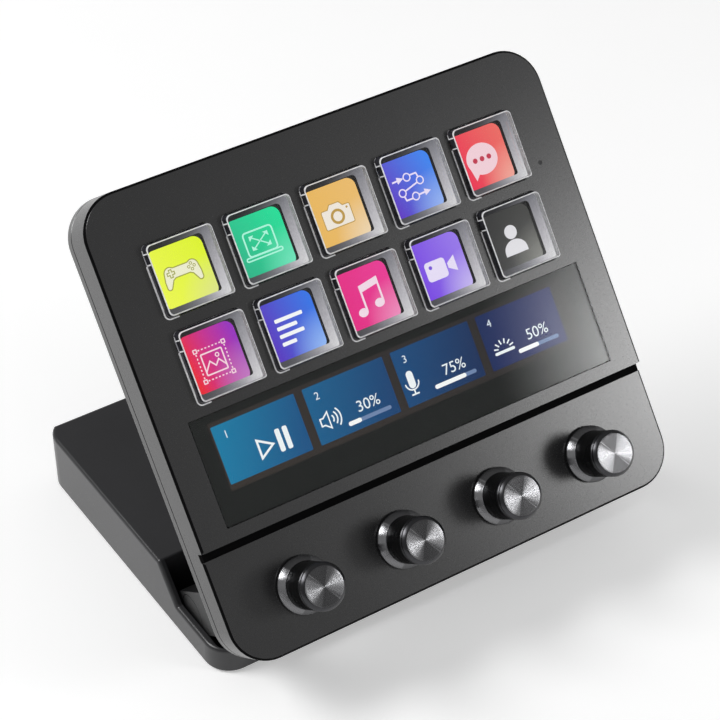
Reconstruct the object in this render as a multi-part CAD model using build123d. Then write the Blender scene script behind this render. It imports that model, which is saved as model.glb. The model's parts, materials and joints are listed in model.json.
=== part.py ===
from build123d import *
import os
from math import cos, sin, sqrt, radians

# A desk macro keypad: ten clear LCD keys, a touch strip and four push knobs on a
# tilting panel, hinged to a weighted base.
# Millimetres, +Z up, +X to the user's right, +Y away from the user.
# The origin is on the desk, under the middle of the base.

# ---------------------------------------------------------------- panel housing
panel_width = 144.0
panel_height = 131.6
panel_corner = 11.5         # plan radius of the panel's corners
panel_tilt = 50.0           # slope of the panel above the desk, in degrees
cover_depth = 11.0          # front cover, from the upper face to the parting line
rear_depth = 4.4            # rear cover, from the parting line to the back
wall = 2.0                  # side walls, front face and rear floor
edge_bevel = 0.7            # bevel round the front faces
parting_bevel = 0.3         # bevels that meet in the line between the two covers
rear_edge_round = 1.6

fascia_height = 31.8        # lower fascia that carries the knobs
fascia_drop = 2.1           # how far the fascia lies below the upper face
groove_width = 2.5
groove_depth = 3.4

# ---------------------------------------------------------------- touch strip
glass_height = 29.8
glass_thickness = 1.1
glass_clearance = 0.1
glass_side_margin = 9.15    # from the panel's edge
glass_above_groove = 3.8
strip_display_height = 20.4
strip_display_thickness = 2.2
strip_display_corner = 0.6
strip_side_margin = 3.6     # from the glass's edge
strip_top_margin = 1.6
strip_window_clearance = 0.3

# ---------------------------------------------------------------- keys
key_columns = 5
key_rows = 2
key_side_margin = 12.0      # from the panel's edge to the field of keys
key_top_margin = 14.15
key_above_glass = 1.35      # from the glass to the field of keys
key_spacing_across = 3.7    # between two caps
key_spacing_down = 3.8
key_corner = 1.8
key_top_bevel = 0.3
key_stands_proud = 1.1
key_window_clearance = 0.25
key_flange_overhang = 1.15  # retaining flange, beyond the cap on each side
key_flange_thickness = 1.5
key_travel = 1.0
key_rest_gap = 0.05         # between the flange and the cover's underside
key_hollow = 1.1            # relief in the cap's underside
key_cap_wall = 1.3          # wall left around that relief

# ---------------------------------------------------------------- key guide and displays
guide_web = 1.0             # guide frame between two flanges
guide_border = 2.4
guide_corner = 1.0
guide_depth = 3.4
membrane_thickness = 0.8
membrane_rim = 2.5          # membrane under each side of a flange
membrane_window_corner = 1.0
dome_radius = 1.0
dome_inset = 1.35           # dome centre from the flange's sides
dome_stop_gap = 0.05        # left between a dome and a fully pressed flange
key_display_thickness = 2.2
key_display_corner = 0.6
key_display_inset = 0.8     # display edge inside the guide's outline
bracket_thickness = 0.8
bracket_corner = 1.5
bracket_overhang = 5.0      # bracket ears beyond the guide, on each side
bracket_hole_inset = 7.6    # bracket screws from the guide's lower and upper edge
bracket_post_radius = 2.2
bracket_post_gap = 0.4      # between a post and the guide
bracket_side_rail = 28.0    # bracket beside its window, within the guide's outline
bracket_end_rail = 13.0     # bracket below and above its window
bracket_window_corner = 3.0
bracket_screw_grip = 3.4    # thread in the post

status_light_rise = 4.65    # above the middle of the keys
status_light_gap = 0.05     # between its foot and the guide, and round the pipe
status_light_radius = 0.6
status_light_foot_radius = 0.75
status_light_foot = 1.2
status_light_recess = 0.1   # pipe end below the face

# ---------------------------------------------------------------- knobs and encoders
knob_count = 4
knob_side_margin = 24.5     # outer knobs' centres from the panel's edge
knob_centre_v = 15.5
knob_radius = 6.6
knob_flange_radius = 8.1
knob_flange_rim = 0.5
knob_flange_rise = 1.6      # height of the conical part of the flange
knob_gap = 0.8              # between the flange and the fascia at rest
knob_height = 13.3          # flange to top
knob_top_chamfer = 0.7
knob_ring_depth = 0.25      # thin turned ring below the chamfer
knob_ring_width = 0.5
knob_ring_below_top = 1.5
knob_skirt_wall = 0.5       # knob's wall round the hollow that clears the nut
knob_skirt_depth = 3.0
knob_push = 0.5

encoder_body_width = 12.4
encoder_body_height = 13.2
encoder_body_depth = 5.6
encoder_body_corner = 0.6
encoder_floor = 0.8         # body below and above the plunger's room
bushing_wall = 0.45
bushing_hole_clearance = 0.2
bushing_stands_proud = 2.7  # above the fascia's face
nut_room = 0.56             # between the nut's corners and the knob's hollow
nut_thickness = 1.8
shaft_radius = 3.0
shaft_flat = 1.5            # depth of the D flat
shaft_clearance = 0.05
shaft_into_knob = 8.0
shaft_collar_height = 0.4   # reduced foot of the shaft
shaft_collar_step = 0.1
shaft_lift = 0.02           # between the plunger and the shaft
plunger_radius = 3.8
plunger_depth = 1.2
plunger_room = 0.15         # sliding clearance round the plunger
plunger_stop_gap = 0.3      # left under a fully pushed plunger

# ---------------------------------------------------------------- boards
board_thickness = 1.6
main_board_above_groove = 7.7
main_board_top_margin = 11.6    # from the panel's upper edge
main_board_boss_gap = 0.3   # between the board and the screw bosses
main_board_corner = 2.0
board_standoff = 1.4
board_standoff_radius = 2.6
board_screw_side_inset = 11.7
board_screw_end_inset = 8.0
usb_above_board_edge = 8.0
usb_width = 8.94
usb_height = 3.26
usb_depth = 7.4
usb_shell = 0.35
usb_back = 1.0              # closed rear end of the socket
usb_setback = 0.2           # mouth inside the panel's side
usb_tongue_thickness = 0.7
usb_tongue_width = 6.6
usb_tongue_setback = 1.0
usb_tongue_root = 0.5       # tongue held in the closed end
usb_hole_clearance = 0.25
usb_tab_margin = 1.5        # board beside the socket
usb_tab_root = 4.0          # tab's overlap with the board
usb_tab_gap = 0.3           # between the tab and the cover's wall
encoder_board_side_margin = 13.0
encoder_board_height = 19.0
encoder_board_corner = 1.0
ribbon_thickness = 0.15
ribbon_width = 16.0
ribbon_landing = 2.0        # ribbon lying on a board
ribbon_plug_gap = 0.6       # key display's ribbon below the display's front
chip_thickness = 1.0
chip_corner = 0.3
main_chip_size = 10.0
driver_chip_size = 6.0
memory_chip_size = 7.0
chip_row_offset = 11.0      # main and memory chips below and above the board's middle
driver_chip_drop = 5.0
driver_chip_side = 22.0

# ---------------------------------------------------------------- screws
screw_radius = 1.2
screw_hole_clearance = 0.1
screw_head_radius = 2.2
screw_head_height = 1.1
screw_pocket_clearance = 0.2
screw_recess_width = 2.4
screw_recess_bar = 0.6
screw_recess_depth = 0.6
boss_radius = 3.0
boss_inset = 7.0            # from the panel's side edges
boss_bottom_v = 7.0
boss_bracket_gap = 0.85     # between the middle bosses and the key guide above them
boss_top_inset = 7.6
cover_screw_grip = 5.0      # thread in the boss

# ---------------------------------------------------------------- base
pad_thickness = 1.0
pad_side_margin = 9.8
pad_end_margin = 8.0
pad_corner = 5.0
base_depth = 100.0
base_front_setback = 3.2    # base's front corners inside the panel's sides
base_rear_overhang = 0.4    # base's rear corners outside the panel's sides
base_corner = 8.0
base_height = 19.3
base_rear_lean = 2.4        # how far the rear wall leans in at the top
base_wall = 2.0
base_edge_round = 1.2
low_wall_height = 8.3
ramp_depth = 8.9            # side walls rise over this depth
block_behind_hinge = 13.55  # front face of the weighted block
tray_floor = 1.6
tray_corner = 3.0           # inner corners, tight so that the arms clear them
bottom_plate_thickness = 2.0
bottom_plate_clearance = 0.15
ballast_side_margin = 12.8  # from the base's front corners
ballast_front_gap = 11.1    # from the block's front wall
ballast_rear_gap = 9.0      # from the rear wall
ballast_corner = 3.0
ballast_thickness = 7.0
base_boss_radius = 3.6
base_screw_side_inset = 7.8
base_screw_behind_block = 8.1
base_screw_rear_inset = 9.0
base_screw_grip = 6.0       # thread in the boss

# ---------------------------------------------------------------- hinge
hinge_from_front = 18.35    # hinge axis behind the base's front edge
hinge_up_panel = 13.5       # hinge axis up the panel from its lower edge
hinge_behind_face = 42.0    # hinge axis behind the panel's upper face
arm_side_gap = 0.35         # between an arm and the tray's side wall
arm_floor_gap = 0.75        # between a level arm and the tray's floor
arm_thickness = 5.0
arm_half_height = 6.5
arm_lower_corner_flat = 0.2 # arm edge left between its two lower rounds
arm_upper_corner = 2.5
arm_foot_length = 14.0
arm_foot_thickness = 3.0
arm_foot_half_height = 8.5
arm_foot_corner = 1.5
arm_screw_spacing = 9.0
pin_radius = 3.0
pin_clearance = 0.05
pin_head_radius = 5.4
pin_head_height = 1.2
pin_head_clearance = 0.2
pin_head_recess = 0.1       # pocket deeper than the head
washer_thickness = 0.9
washer_radius = 6.0
washer_gap = 0.2
hinge_bracket_thickness = 4.0
hinge_bracket_half_depth = 7.0
hinge_bracket_top = 6.2     # above the hinge axis
hinge_bracket_round = 4.0
hinge_bracket_foot = 12.0
hinge_bracket_foot_thickness = 2.6
hinge_bracket_screw_margin = 0.6    # foot past the screw heads
hinge_bracket_screw_gap = 0.2       # screw end above the tray's underside
hinge_nut_across_flats = 8.0
hinge_nut_thickness = 2.6
pin_end = 0.6               # pin past its nut

overcut = 1.0               # how far cutting bodies run past what they cut

# ---------------------------------------------------------------- levels, from the upper face down
face = 0.0
fascia_face = -fascia_drop
groove_floor = -groove_depth
cover_underside = -wall
fascia_underside = fascia_face - wall
parting = -cover_depth
rear_face = -(cover_depth + rear_depth)
rear_floor = rear_face + wall
guide_bottom = cover_underside - guide_depth
membrane_bottom = guide_bottom - membrane_thickness
key_display_bottom = membrane_bottom - key_display_thickness
bracket_bottom = key_display_bottom - bracket_thickness
main_board_back = rear_floor + board_standoff
main_board_front = main_board_back + board_thickness
encoder_body_bottom = fascia_underside - encoder_body_depth
encoder_board_bottom = encoder_body_bottom - board_thickness
flange_top = cover_underside - key_rest_gap
flange_bottom = flange_top - key_flange_thickness
knob_bottom = fascia_face + knob_gap
knob_top = knob_bottom + knob_height
plunger_floor = encoder_body_bottom + encoder_floor
plunger_low = plunger_floor + knob_push + plunger_stop_gap

# ---------------------------------------------------------------- layout of the panel's face
groove_top_v = fascia_height + groove_width
glass_width = panel_width - 2 * glass_side_margin
glass_top_v = groove_top_v + glass_above_groove + glass_height
glass_centre_v = glass_top_v - glass_height / 2
strip_display_width = glass_width - 2 * strip_side_margin
strip_display_centre_v = glass_top_v - strip_top_margin - strip_display_height / 2
key_field_top_v = panel_height - key_top_margin
key_pitch_across = (panel_width - 2 * key_side_margin) / key_columns
key_pitch_down = (key_field_top_v - glass_top_v - key_above_glass) / key_rows
key_width = key_pitch_across - key_spacing_across
key_height = key_pitch_down - key_spacing_down
flange_width = key_width + 2 * key_flange_overhang
flange_height = key_height + 2 * key_flange_overhang
knob_pitch = (panel_width - 2 * knob_side_margin) / (knob_count - 1)
knob_skirt_radius = knob_radius - knob_skirt_wall
nut_across_flats = sqrt(3) * (knob_skirt_radius - nut_room)
bushing_radius = shaft_radius + shaft_clearance + bushing_wall

# ---------------------------------------------------------------- layout inside the panel
guide_width = key_columns * key_pitch_across - guide_web + 2 * guide_border
guide_height = key_rows * key_pitch_down - guide_web + 2 * guide_border
guide_centre_v = key_field_top_v - key_rows * key_pitch_down / 2
status_light_u = guide_width / 2 + status_light_foot_radius + status_light_gap
status_light_v = guide_centre_v + status_light_rise
boss_u = panel_width / 2 - boss_inset
boss_middle_v = guide_centre_v - guide_height / 2 - boss_bracket_gap - boss_radius
boss_top_v = panel_height - boss_top_inset
main_board_width = 2 * (boss_u - boss_radius - main_board_boss_gap)
main_board_bottom_v = groove_top_v + main_board_above_groove
main_board_top_v = panel_height - main_board_top_margin
main_board_middle_v = (main_board_bottom_v + main_board_top_v) / 2
usb_centre_v = main_board_bottom_v + usb_above_board_edge
encoder_board_width = panel_width - 2 * encoder_board_side_margin

# ---------------------------------------------------------------- layout of the base and hinge
base_under = pad_thickness
base_front_width = panel_width - 2 * base_front_setback
base_rear_width = panel_width + 2 * base_rear_overhang
hinge_y = -base_depth / 2 + hinge_from_front
hinge_z = base_under + tray_floor + arm_half_height + arm_floor_gap
block_front_y = hinge_y + block_behind_hinge
block_wall_y = block_front_y + base_wall
low_wall_rear_y = block_front_y - ramp_depth
base_screw_x = base_front_width / 2 - base_screw_side_inset
arm_swing = sqrt(2) * (arm_half_height - arm_upper_corner) + arm_upper_corner


def base_half_width(y):
    """Half the base's width at a place along its depth."""
    share = y / base_depth + 0.5
    return (base_front_width + (base_rear_width - base_front_width) * share) / 2


arm_outer_x = min(base_half_width(hinge_y + s * arm_swing) for s in (-1, 1)) - base_wall - arm_side_gap
arm_inner_x = arm_outer_x - arm_thickness
bracket_outer_x = arm_inner_x - washer_thickness - washer_gap
bracket_inner_x = bracket_outer_x - hinge_bracket_thickness

tilt = radians(panel_tilt)
panel_foot_y = hinge_y - hinge_up_panel * cos(tilt) - hinge_behind_face * sin(tilt)
panel_foot_z = hinge_z - hinge_up_panel * sin(tilt) + hinge_behind_face * cos(tilt)
panel_frame = Location(Plane(origin=(0, panel_foot_y, panel_foot_z), x_dir=(1, 0, 0),
                             z_dir=(0, -sin(tilt), cos(tilt))))


# ---------------------------------------------------------------- shape helpers
def slab(width, height, low, high, corner=0.0, u=0.0, v=0.0):
    """A plate with rounded corners, between two levels of its frame."""
    outline = RectangleRounded(width, height, corner) if corner > 0 else Rectangle(width, height)
    return Pos(u, v, low) * extrude(outline, high - low)


def rod(radius, low, high, u=0.0, v=0.0):
    """An upright cylinder between two levels."""
    return Pos(u, v, low) * extrude(Circle(radius), high - low)


def hexagon(across_flats, low, high, u=0.0, v=0.0):
    """An upright hexagonal prism between two levels."""
    return Pos(u, v, low) * extrude(RegularPolygon(across_flats / 2, 6, major_radius=False), high - low)


def cross_rod(radius, x_start, x_end, y, z):
    """A cylinder along X."""
    return Pos(x_start, y, z) * Rot(0, 90, 0) * extrude(Circle(radius), x_end - x_start)


def profile_along_x(points, x_start, x_end):
    """A polygon in the Y-Z plane, extruded along X."""
    outline = Polygon(*points, align=None)
    return Pos(x_start, 0, 0) * (Plane.YZ.location * extrude(outline, x_end - x_start))


def group(pieces):
    """Separate solids that share one node."""
    return Compound(children=list(pieces))


def write(name, shape, on_panel=False):
    """Write one node, moved from the panel's frame to the desk's where needed."""
    placed = panel_frame * shape if on_panel else shape
    export_step(placed, f"parts/{name}.step")


def key_places():
    """Centres of the keys in the panel's frame, left to right and top to bottom."""
    for row in range(key_rows):
        for column in range(key_columns):
            u = (column - (key_columns - 1) / 2) * key_pitch_across
            yield u, key_field_top_v - (row + 0.5) * key_pitch_down


def knob_places():
    """Centres of the knobs in the panel's frame."""
    return [((i - (knob_count - 1) / 2) * knob_pitch, knob_centre_v) for i in range(knob_count)]


def boss_places():
    """Screw bosses that join the two halves of the panel."""
    return [(s * boss_u, v) for s in (-1, 1) for v in (boss_bottom_v, boss_middle_v, boss_top_v)]


def bracket_places():
    """Screws that hold the display bracket to the front cover."""
    side = guide_width / 2 + bracket_post_gap + bracket_post_radius
    reach = guide_height / 2 - bracket_hole_inset
    return [(s * side, guide_centre_v + t * reach) for s in (-1, 1) for t in (-1, 1)]


def board_places():
    """Screws that hold the main board to the rear cover."""
    side = main_board_width / 2 - board_screw_side_inset
    reach = (main_board_top_v - main_board_bottom_v) / 2 - board_screw_end_inset
    return [(s * side, main_board_middle_v + t * reach) for s in (-1, 1) for t in (-1, 1)]


def arm_screw_places():
    """Screws that hold the hinge arms to the rear cover, in the panel's frame."""
    u = arm_inner_x - (arm_foot_length - arm_thickness) / 2
    return [(s * u, hinge_up_panel + t * arm_screw_spacing / 2) for s in (-1, 1) for t in (-1, 1)]


def base_screw_places():
    """Screws that hold the bottom plate to the base."""
    front = block_front_y + base_screw_behind_block
    rear = base_depth / 2 - base_screw_rear_inset
    return [(s * base_screw_x, y) for s in (-1, 1) for y in (front, rear)]


def hinge_bracket_screw_places():
    """Screws that hold the hinge brackets to the tray's floor."""
    x = bracket_inner_x - (hinge_bracket_foot - hinge_bracket_thickness) / 2
    half = hinge_bracket_half_depth - screw_head_radius - hinge_bracket_screw_margin
    return [(s * x, hinge_y + t * half) for s in (-1, 1) for t in (-1, 1)]


# ---------------------------------------------------------------- panel covers
def panel_outline(low, high, inset=0.0):
    corner = panel_corner - inset
    return slab(panel_width - 2 * inset, panel_height - 2 * inset, low, high, corner, v=panel_height / 2)


def front_blank(level):
    """The whole panel outline from the parting line, bevelled there, up to the given level."""
    body = panel_outline(parting, level)
    return chamfer(body.faces().sort_by(Axis.Z)[0].edges(), parting_bevel)


def bevelled_front(level):
    """The blank with a bevelled front edge."""
    body = front_blank(level)
    return chamfer(body.faces().sort_by(Axis.Z)[-1].edges(), edge_bevel)


def band(low_v, high_v):
    """A block over a stretch of the panel's height, for cutting a body to it."""
    return slab(panel_width * 2, high_v - low_v, rear_face * 3, panel_width, v=(low_v + high_v) / 2)


def make_front_cover():
    upper = bevelled_front(face) & band(groove_top_v, panel_height * 2)
    lower = bevelled_front(fascia_face) & band(-panel_height, fascia_height)
    middle = front_blank(groove_floor) & band(fascia_height, groove_top_v)
    cover = upper + lower + middle
    inside = panel_outline(parting, cover_underside, wall)
    step_v = groove_top_v + wall
    cover -= inside & band(step_v, panel_height * 2)
    cover -= panel_outline(parting, fascia_underside, wall) & band(-panel_height, fascia_height - wall)
    cover -= panel_outline(parting, groove_floor - wall, wall) & band(fascia_height - wall, step_v)
    for u, v in key_places():
        cover -= slab(key_width + 2 * key_window_clearance, key_height + 2 * key_window_clearance,
                      cover_underside, face, key_corner + key_window_clearance, u, v)
    cover -= slab(glass_width + 2 * glass_clearance, glass_height + 2 * glass_clearance,
                  -glass_thickness, face, v=glass_centre_v)
    cover -= slab(strip_display_width + 2 * strip_window_clearance,
                  strip_display_height + 2 * strip_window_clearance, cover_underside, face,
                  v=strip_display_centre_v)
    for u, v in knob_places():
        cover -= rod(bushing_radius + bushing_hole_clearance, fascia_underside, fascia_face, u, v)
    for u, v in boss_places():
        top = fascia_underside if v < fascia_height else cover_underside
        cover += rod(boss_radius, rear_floor, top, u, v)
        cover -= rod(screw_radius + screw_hole_clearance / 2, rear_floor, top - wall, u, v)
    for u, v in bracket_places():
        cover += rod(bracket_post_radius, key_display_bottom, cover_underside, u, v)
        cover -= rod(screw_radius + screw_hole_clearance / 2, key_display_bottom, cover_underside - wall,
                     u, v)
    cover -= usb_hole()
    cover -= rod(status_light_radius + status_light_gap, cover_underside, face, status_light_u,
                 status_light_v)
    return cover


def usb_level():
    """Middle of the socket above the main board."""
    return main_board_front + usb_height / 2


def usb_outline(width, height, start, end):
    """A stadium prism along X, the shape of the socket's shell."""
    outline = RectangleRounded(width, height, height / 2 - 0.01)
    prism = Rot(0, 90, 0) * Rot(0, 0, 90) * extrude(outline, end - start)
    return Pos(start, usb_centre_v, usb_level()) * prism


def usb_hole():
    grow = 2 * usb_hole_clearance
    side = panel_width / 2
    return usb_outline(usb_width + grow, usb_height + grow, side - wall - overcut, side + overcut)


def make_rear_cover():
    cover = panel_outline(rear_face, parting)
    cover = fillet(cover.faces().sort_by(Axis.Z)[0].edges(), rear_edge_round)
    cover = chamfer(cover.faces().sort_by(Axis.Z)[-1].edges(), parting_bevel)
    cover -= panel_outline(rear_floor, parting, wall)
    for u, v in boss_places():
        cover -= rod(screw_radius + screw_hole_clearance, rear_face, rear_floor, u, v)
        cover -= rod(screw_head_radius + screw_pocket_clearance, rear_face, rear_face + screw_head_height,
                     u, v)
    for u, v in board_places():
        cover += rod(board_standoff_radius, rear_floor, main_board_back, u, v)
        cover -= rod(screw_radius + screw_hole_clearance / 2, rear_face + wall / 2, main_board_back, u, v)
    for u, v in arm_screw_places():
        cover -= rod(screw_radius + screw_hole_clearance / 2, rear_face, rear_floor, u, v)
    return cover


def screw(head_low, length, upward):
    """A screw whose head starts at head_low, with its shank along +Z or -Z."""
    head_top = head_low + screw_head_height
    shank = (head_top, head_top + length) if upward else (head_low - length, head_low)
    return rod(screw_head_radius, head_low, head_top) + rod(screw_radius, *shank)


def driver_slot(low, high):
    """A cross recess in a screw head."""
    return (slab(screw_recess_width, screw_recess_bar, low, high)
            + slab(screw_recess_bar, screw_recess_width, low, high))


def recessed_screw(head_low, length, upward=True):
    """A screw with a cross recess in the open side of its head."""
    body = screw(head_low, length, upward)
    low = head_low if upward else head_low + screw_head_height - screw_recess_depth
    return body - driver_slot(low, low + screw_recess_depth)


def make_cover_screws():
    reach = wall - screw_head_height + cover_screw_grip
    return group(Pos(u, v, 0) * recessed_screw(rear_face, reach) for u, v in boss_places())


# ---------------------------------------------------------------- keys
def make_key():
    """A clear cap with its retaining flange, in the frame of its own centre."""
    cap = slab(key_width, key_height, flange_bottom, key_stands_proud, key_corner)
    cap = chamfer(cap.faces().sort_by(Axis.Z)[-1].edges(), key_top_bevel)
    cap += slab(flange_width, flange_height, flange_bottom, flange_top, key_corner)
    return cap - slab(key_width - 2 * key_cap_wall, key_height - 2 * key_cap_wall,
                      flange_bottom, flange_bottom + key_hollow, key_corner / 2)


def make_key_frame():
    frame = slab(guide_width, guide_height, guide_bottom, cover_underside, guide_corner, v=guide_centre_v)
    for u, v in key_places():
        frame -= slab(key_pitch_across - guide_web, key_pitch_down - guide_web, guide_bottom,
                      cover_underside, key_corner, u, v)
    return frame


def make_key_membrane():
    sheet = slab(guide_width, guide_height, membrane_bottom, guide_bottom, guide_corner, v=guide_centre_v)
    pressed = flange_bottom - key_travel - dome_stop_gap
    dome_u = flange_width / 2 - dome_inset
    dome_v = flange_height / 2 - dome_inset
    for u, v in key_places():
        sheet -= slab(flange_width - 2 * membrane_rim, flange_height - 2 * membrane_rim,
                      membrane_bottom, guide_bottom, membrane_window_corner, u, v)
        for s in (-1, 1):
            for t in (-1, 1):
                sheet += rod(dome_radius, guide_bottom, pressed, u + s * dome_u, v + t * dome_v)
    return sheet


def make_key_display():
    inset = 2 * key_display_inset
    return slab(guide_width - inset, guide_height - inset, key_display_bottom, membrane_bottom,
                key_display_corner, v=guide_centre_v)


def make_display_bracket():
    """A plate with ears, as high as the display, so that its ribbon passes above the edge."""
    plate = slab(guide_width + 2 * bracket_overhang, guide_height - 2 * key_display_inset,
                 bracket_bottom, key_display_bottom, bracket_corner, v=guide_centre_v)
    plate -= slab(guide_width - 2 * bracket_side_rail, guide_height - 2 * bracket_end_rail,
                  bracket_bottom, key_display_bottom, bracket_window_corner, v=guide_centre_v)
    for u, v in bracket_places():
        plate -= rod(screw_radius + screw_hole_clearance, bracket_bottom, key_display_bottom, u, v)
    return plate


def make_bracket_screws():
    low = bracket_bottom - screw_head_height
    reach = bracket_thickness + bracket_screw_grip
    return group(Pos(u, v, 0) * recessed_screw(low, reach) for u, v in bracket_places())


# ---------------------------------------------------------------- touch strip
def make_glass():
    return slab(glass_width, glass_height, -glass_thickness, face, v=glass_centre_v)


def make_strip_display():
    return slab(strip_display_width, strip_display_height, -glass_thickness - strip_display_thickness,
                -glass_thickness, strip_display_corner, v=strip_display_centre_v)


def make_status_light():
    pipe = rod(status_light_radius, cover_underside, face - status_light_recess)
    foot = rod(status_light_foot_radius, cover_underside - status_light_foot, cover_underside)
    return Pos(status_light_u, status_light_v, 0) * (pipe + foot)


# ---------------------------------------------------------------- knobs and encoders
def make_knob():
    """An aluminium knob turned about Z, with a D bore."""
    rim = knob_bottom + knob_flange_rim
    neck = rim + knob_flange_rise
    ring_top = knob_top - knob_ring_below_top
    ring_low = ring_top - knob_ring_width
    ring = knob_radius - knob_ring_depth
    outline = [(0, knob_bottom), (knob_flange_radius, knob_bottom), (knob_flange_radius, rim),
               (knob_radius, neck), (knob_radius, ring_low), (ring, ring_low), (ring, ring_top),
               (knob_radius, ring_top), (knob_radius, knob_top - knob_top_chamfer),
               (knob_radius - knob_top_chamfer, knob_top), (0, knob_top)]
    half = Plane.XZ.location * make_face(Polyline(*outline, close=True))
    body = revolve(half, Axis.Z)
    body -= rod(knob_skirt_radius, knob_bottom, knob_bottom + knob_skirt_depth)
    bore_top = knob_bottom + knob_skirt_depth + shaft_into_knob
    return body - d_shape(shaft_radius, knob_bottom, bore_top)


def d_shape(radius, low, high):
    """A round bar with one flat."""
    bar = rod(radius, low, high)
    return bar - Pos(0, 2 * radius - shaft_flat, low) * extrude(Rectangle(4 * radius, 2 * radius), high - low)


def make_encoder_body():
    body = slab(encoder_body_width, encoder_body_height, encoder_body_bottom, fascia_underside,
                encoder_body_corner)
    body += rod(bushing_radius, fascia_underside, fascia_face + bushing_stands_proud)
    body -= rod(plunger_radius + plunger_room, plunger_floor, fascia_underside - encoder_floor)
    return body - rod(shaft_radius + shaft_clearance, plunger_floor, fascia_face + bushing_stands_proud)


def make_encoder_plunger():
    """The disc that carries the push motion, under the turning shaft."""
    return rod(plunger_radius, plunger_low, plunger_low + plunger_depth)


def make_encoder_shaft():
    low = plunger_low + plunger_depth + shaft_lift
    collar_top = low + shaft_collar_height
    flat_low = knob_bottom + knob_skirt_depth - shaft_collar_height
    top = knob_bottom + knob_skirt_depth + shaft_into_knob
    collar = rod(shaft_radius - shaft_collar_step, low, collar_top)
    return collar + rod(shaft_radius, collar_top, flat_low) + d_shape(shaft_radius, flat_low, top)


def make_encoder_nuts():
    nut = hexagon(nut_across_flats, fascia_face, fascia_face + nut_thickness)
    nut -= rod(bushing_radius, fascia_face, fascia_face + nut_thickness)
    return group(Pos(u, v, 0) * nut for u, v in knob_places())


def make_encoder_board():
    return slab(encoder_board_width, encoder_board_height, encoder_board_bottom, encoder_body_bottom,
                encoder_board_corner, v=knob_centre_v)


# ---------------------------------------------------------------- boards
def make_main_board():
    board = slab(main_board_width, main_board_top_v - main_board_bottom_v, main_board_back,
                 main_board_front, main_board_corner, v=main_board_middle_v)
    tab_end = panel_width / 2 - wall - usb_tab_gap
    tab_start = main_board_width / 2 - usb_tab_root
    board += slab(tab_end - tab_start, usb_width + 2 * usb_tab_margin, main_board_back, main_board_front,
                  u=(tab_start + tab_end) / 2, v=usb_centre_v)
    for u, v in board_places():
        board -= rod(screw_radius + screw_hole_clearance, main_board_back, main_board_front, u, v)
    return board


def make_board_screws():
    return group(Pos(u, v, 0) * recessed_screw(main_board_front, board_thickness + board_standoff, False)
                 for u, v in board_places())


def make_board_chips():
    """Controller, memory and two display drivers on the back of the main board."""
    low, high = main_board_back - chip_thickness, main_board_back
    driver_v = main_board_middle_v - driver_chip_drop
    places = [(0.0, main_board_middle_v - chip_row_offset, main_chip_size),
              (0.0, main_board_middle_v + chip_row_offset, memory_chip_size),
              (-driver_chip_side, driver_v, driver_chip_size), (driver_chip_side, driver_v, driver_chip_size)]
    return group(slab(size, size, low, high, chip_corner, u, v) for u, v, size in places)


def make_usb_socket():
    end = panel_width / 2 - usb_setback
    start = end - usb_depth
    shell = usb_outline(usb_width, usb_height, start, end)
    shell -= usb_outline(usb_width - 2 * usb_shell, usb_height - 2 * usb_shell, start + usb_back, end)
    tongue_start = start + usb_tongue_root
    tongue_end = end - usb_tongue_setback
    tongue = Box(tongue_end - tongue_start, usb_tongue_width, usb_tongue_thickness)
    return shell + Pos((tongue_start + tongue_end) / 2, usb_centre_v, usb_level()) * tongue


def make_ribbon_cables():
    """Flat cables from the displays and the encoder board to the main board."""
    display_edge = guide_centre_v + guide_height / 2 - key_display_inset
    key_ribbon = slab(ribbon_width, ribbon_thickness, main_board_front, membrane_bottom - ribbon_plug_gap,
                      v=display_edge + ribbon_thickness / 2)
    strip_ribbon = slab(ribbon_width, ribbon_thickness, main_board_front,
                        -glass_thickness - strip_display_thickness, v=strip_display_centre_v)
    run_start = knob_centre_v + encoder_board_height / 2 - ribbon_landing
    run_end = main_board_bottom_v
    run_top = encoder_body_bottom + ribbon_thickness
    run = slab(ribbon_width, run_end - run_start, encoder_body_bottom, run_top, v=(run_start + run_end) / 2)
    low, high = sorted((main_board_front, run_top))
    step = slab(ribbon_width, ribbon_thickness, low, high, v=run_end - ribbon_thickness / 2)
    tail = slab(ribbon_width, ribbon_landing, main_board_front, main_board_front + ribbon_thickness,
                v=run_end + ribbon_landing / 2)
    return group([key_ribbon, strip_ribbon, run + step + tail])


# ---------------------------------------------------------------- base
def base_plan(inset, low, high, corner=None):
    """The base's plan, a little narrower in front, with rounded corners."""
    half = base_depth / 2 - inset
    front = base_front_width / 2 - inset
    rear = base_rear_width / 2 - inset
    corners = Polygon((-front, -half), (front, -half), (rear, half), (-rear, half), align=None)
    outline = fillet(corners.vertices(), corner or base_corner - inset)
    return Pos(0, 0, low) * extrude(outline, high - low)


def base_side_profile(inset):
    """Side view of the base: tall block behind, low walls in front."""
    back = base_depth / 2 - inset
    top = base_height - inset
    points = [(-base_depth, 0), (back, 0), (back - base_rear_lean, top), (block_front_y, top),
              (low_wall_rear_y, low_wall_height), (-base_depth, low_wall_height)]
    return profile_along_x([(y, z + base_under) for y, z in points], -base_rear_width, base_rear_width)


def block_between(y_start, y_end, low, high):
    """A wide block over a stretch of the base's depth."""
    return Pos(0, (y_start + y_end) / 2, low) * extrude(Rectangle(base_rear_width * 2, y_end - y_start),
                                                       high - low)


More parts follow.
